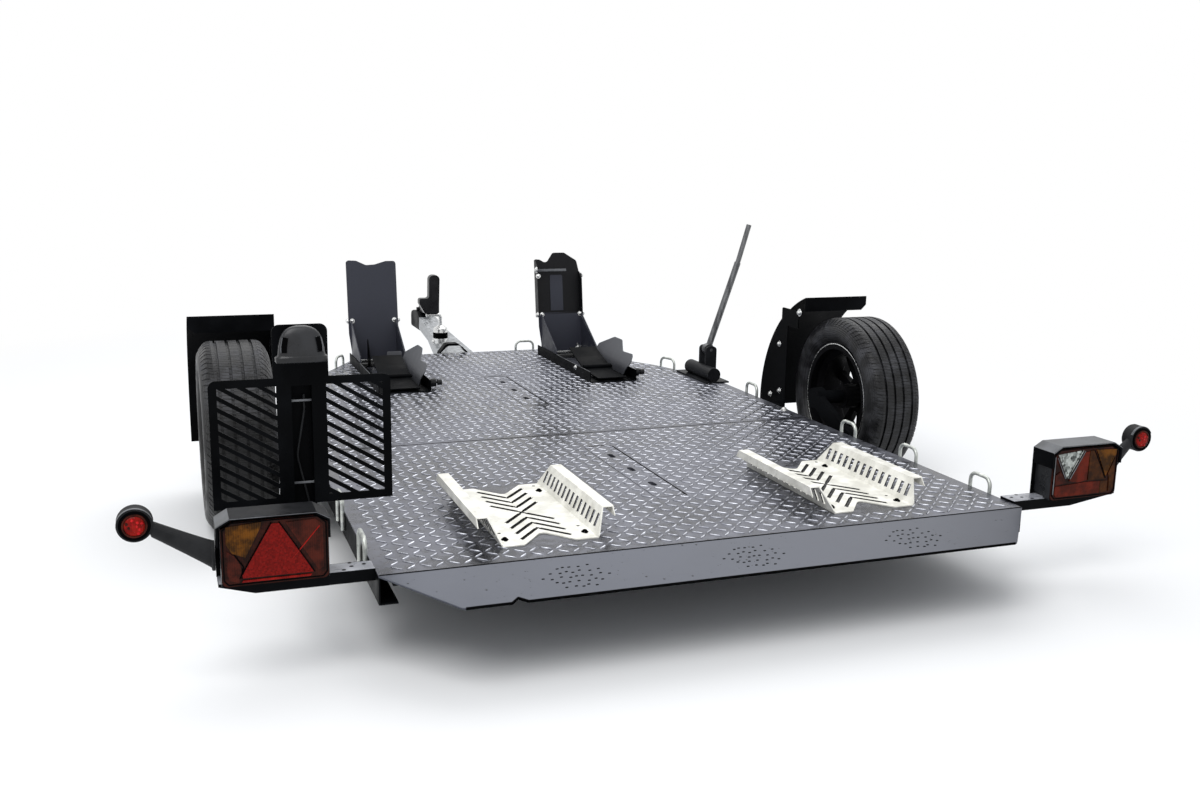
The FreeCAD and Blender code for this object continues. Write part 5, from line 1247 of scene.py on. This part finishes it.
def floorAndBackdrop():
    # paper near the object keeps its shadow, and runs out into plain white
    size = studio["floor"]
    mesh = bpy.data.meshes.new("studioFloor")
    corners = [(-size, -size, 0), (size, -size, 0), (size, size, 0), (-size, size, 0)]
    mesh.from_pydata(corners, [], [(0, 1, 2, 3)])
    floor = bpy.data.objects.new("studioFloor", mesh)
    bpy.context.scene.collection.objects.link(floor)
    f = Finish("floorPaper", (0.86, 0.86, 0.86), 0.9, specular=0.1)
    x, y = f.place()[:2]
    across, along = x.size() - studio["half"][0], y.size() - studio["half"][1]
    away = (across.larger(0.0) * across.larger(0.0) + along.larger(0.0) * along.larger(0.0)).root()
    faded = away.eased(studio["fadeFrom"], studio["fadeTo"]) * f.seenDirectly()
    white = f.node("ShaderNodeEmission", None, {"Color": (1, 1, 1), "Strength": 1.0})
    shader = f.tree.nodes["Principled BSDF"].outputs[0]
    blend = f.node("ShaderNodeMixShader", None, {0: faded, 1: Wire(f, shader), 2: white})
    f.put(f.tree.nodes["Material Output"].inputs["Surface"], blend)
    mesh.materials.append(f.material)
    floor.location.z = -0.001


def studioLight():
    # white for the camera, a pale sky for the light, and two wide lamps
    world = bpy.data.worlds.new("studioSky")
    bpy.context.scene.world = world
    world.use_nodes = True
    sky = Graph(world.node_tree)
    lit = sky.node("ShaderNodeBackground", None, {"Color": studio["skyTint"], "Strength": studio["sky"]})
    seen = sky.node("ShaderNodeBackground", None, {"Color": (1, 1, 1), "Strength": 1.0})
    blend = sky.node("ShaderNodeMixShader", None, {0: sky.seenDirectly(), 1: lit, 2: seen})
    sky.put(sky.tree.nodes["World Output"].inputs["Surface"], blend)
    for name, where, size, power in lamps:
        lamp = bpy.data.lights.new(name, "AREA")
        lamp.size = size
        lamp.energy = power
        placed = bpy.data.objects.new(name, lamp)
        bpy.context.scene.collection.objects.link(placed)
        placed.location = where
        placed.rotation_euler = (Vector((0, 0, 0.2)) - Vector(where)).to_track_quat("-Z", "Y").to_euler()


def photoCamera():
    # the camera fitted to the photo
    lens = bpy.data.cameras.new("photoCamera")
    camera = bpy.data.objects.new("photoCamera", lens)
    bpy.context.scene.collection.objects.link(camera)
    lens.sensor_width = 36
    lens.lens = view["focal"] * 36 / view["width"]
    yaw, pitch, roll = view["yaw"], view["pitch"], view["roll"]
    ahead = Vector((math.sin(yaw) * math.cos(pitch), math.cos(yaw) * math.cos(pitch), math.sin(pitch)))
    right = Vector((math.cos(yaw), -math.sin(yaw), 0))
    up = right.cross(ahead)
    tiltedRight = right * math.cos(roll) + up * math.sin(roll)
    tiltedUp = up * math.cos(roll) - right * math.sin(roll)
    turn = Matrix((tiltedRight, tiltedUp, -ahead)).transposed()
    camera.matrix_world = Matrix.Translation(view["place"]) @ turn.to_4x4()
    bpy.context.scene.camera = camera


floorAndBackdrop()
studioLight()
photoCamera()
bpy.context.scene.view_settings.view_transform = "Standard"
print("studio ready")
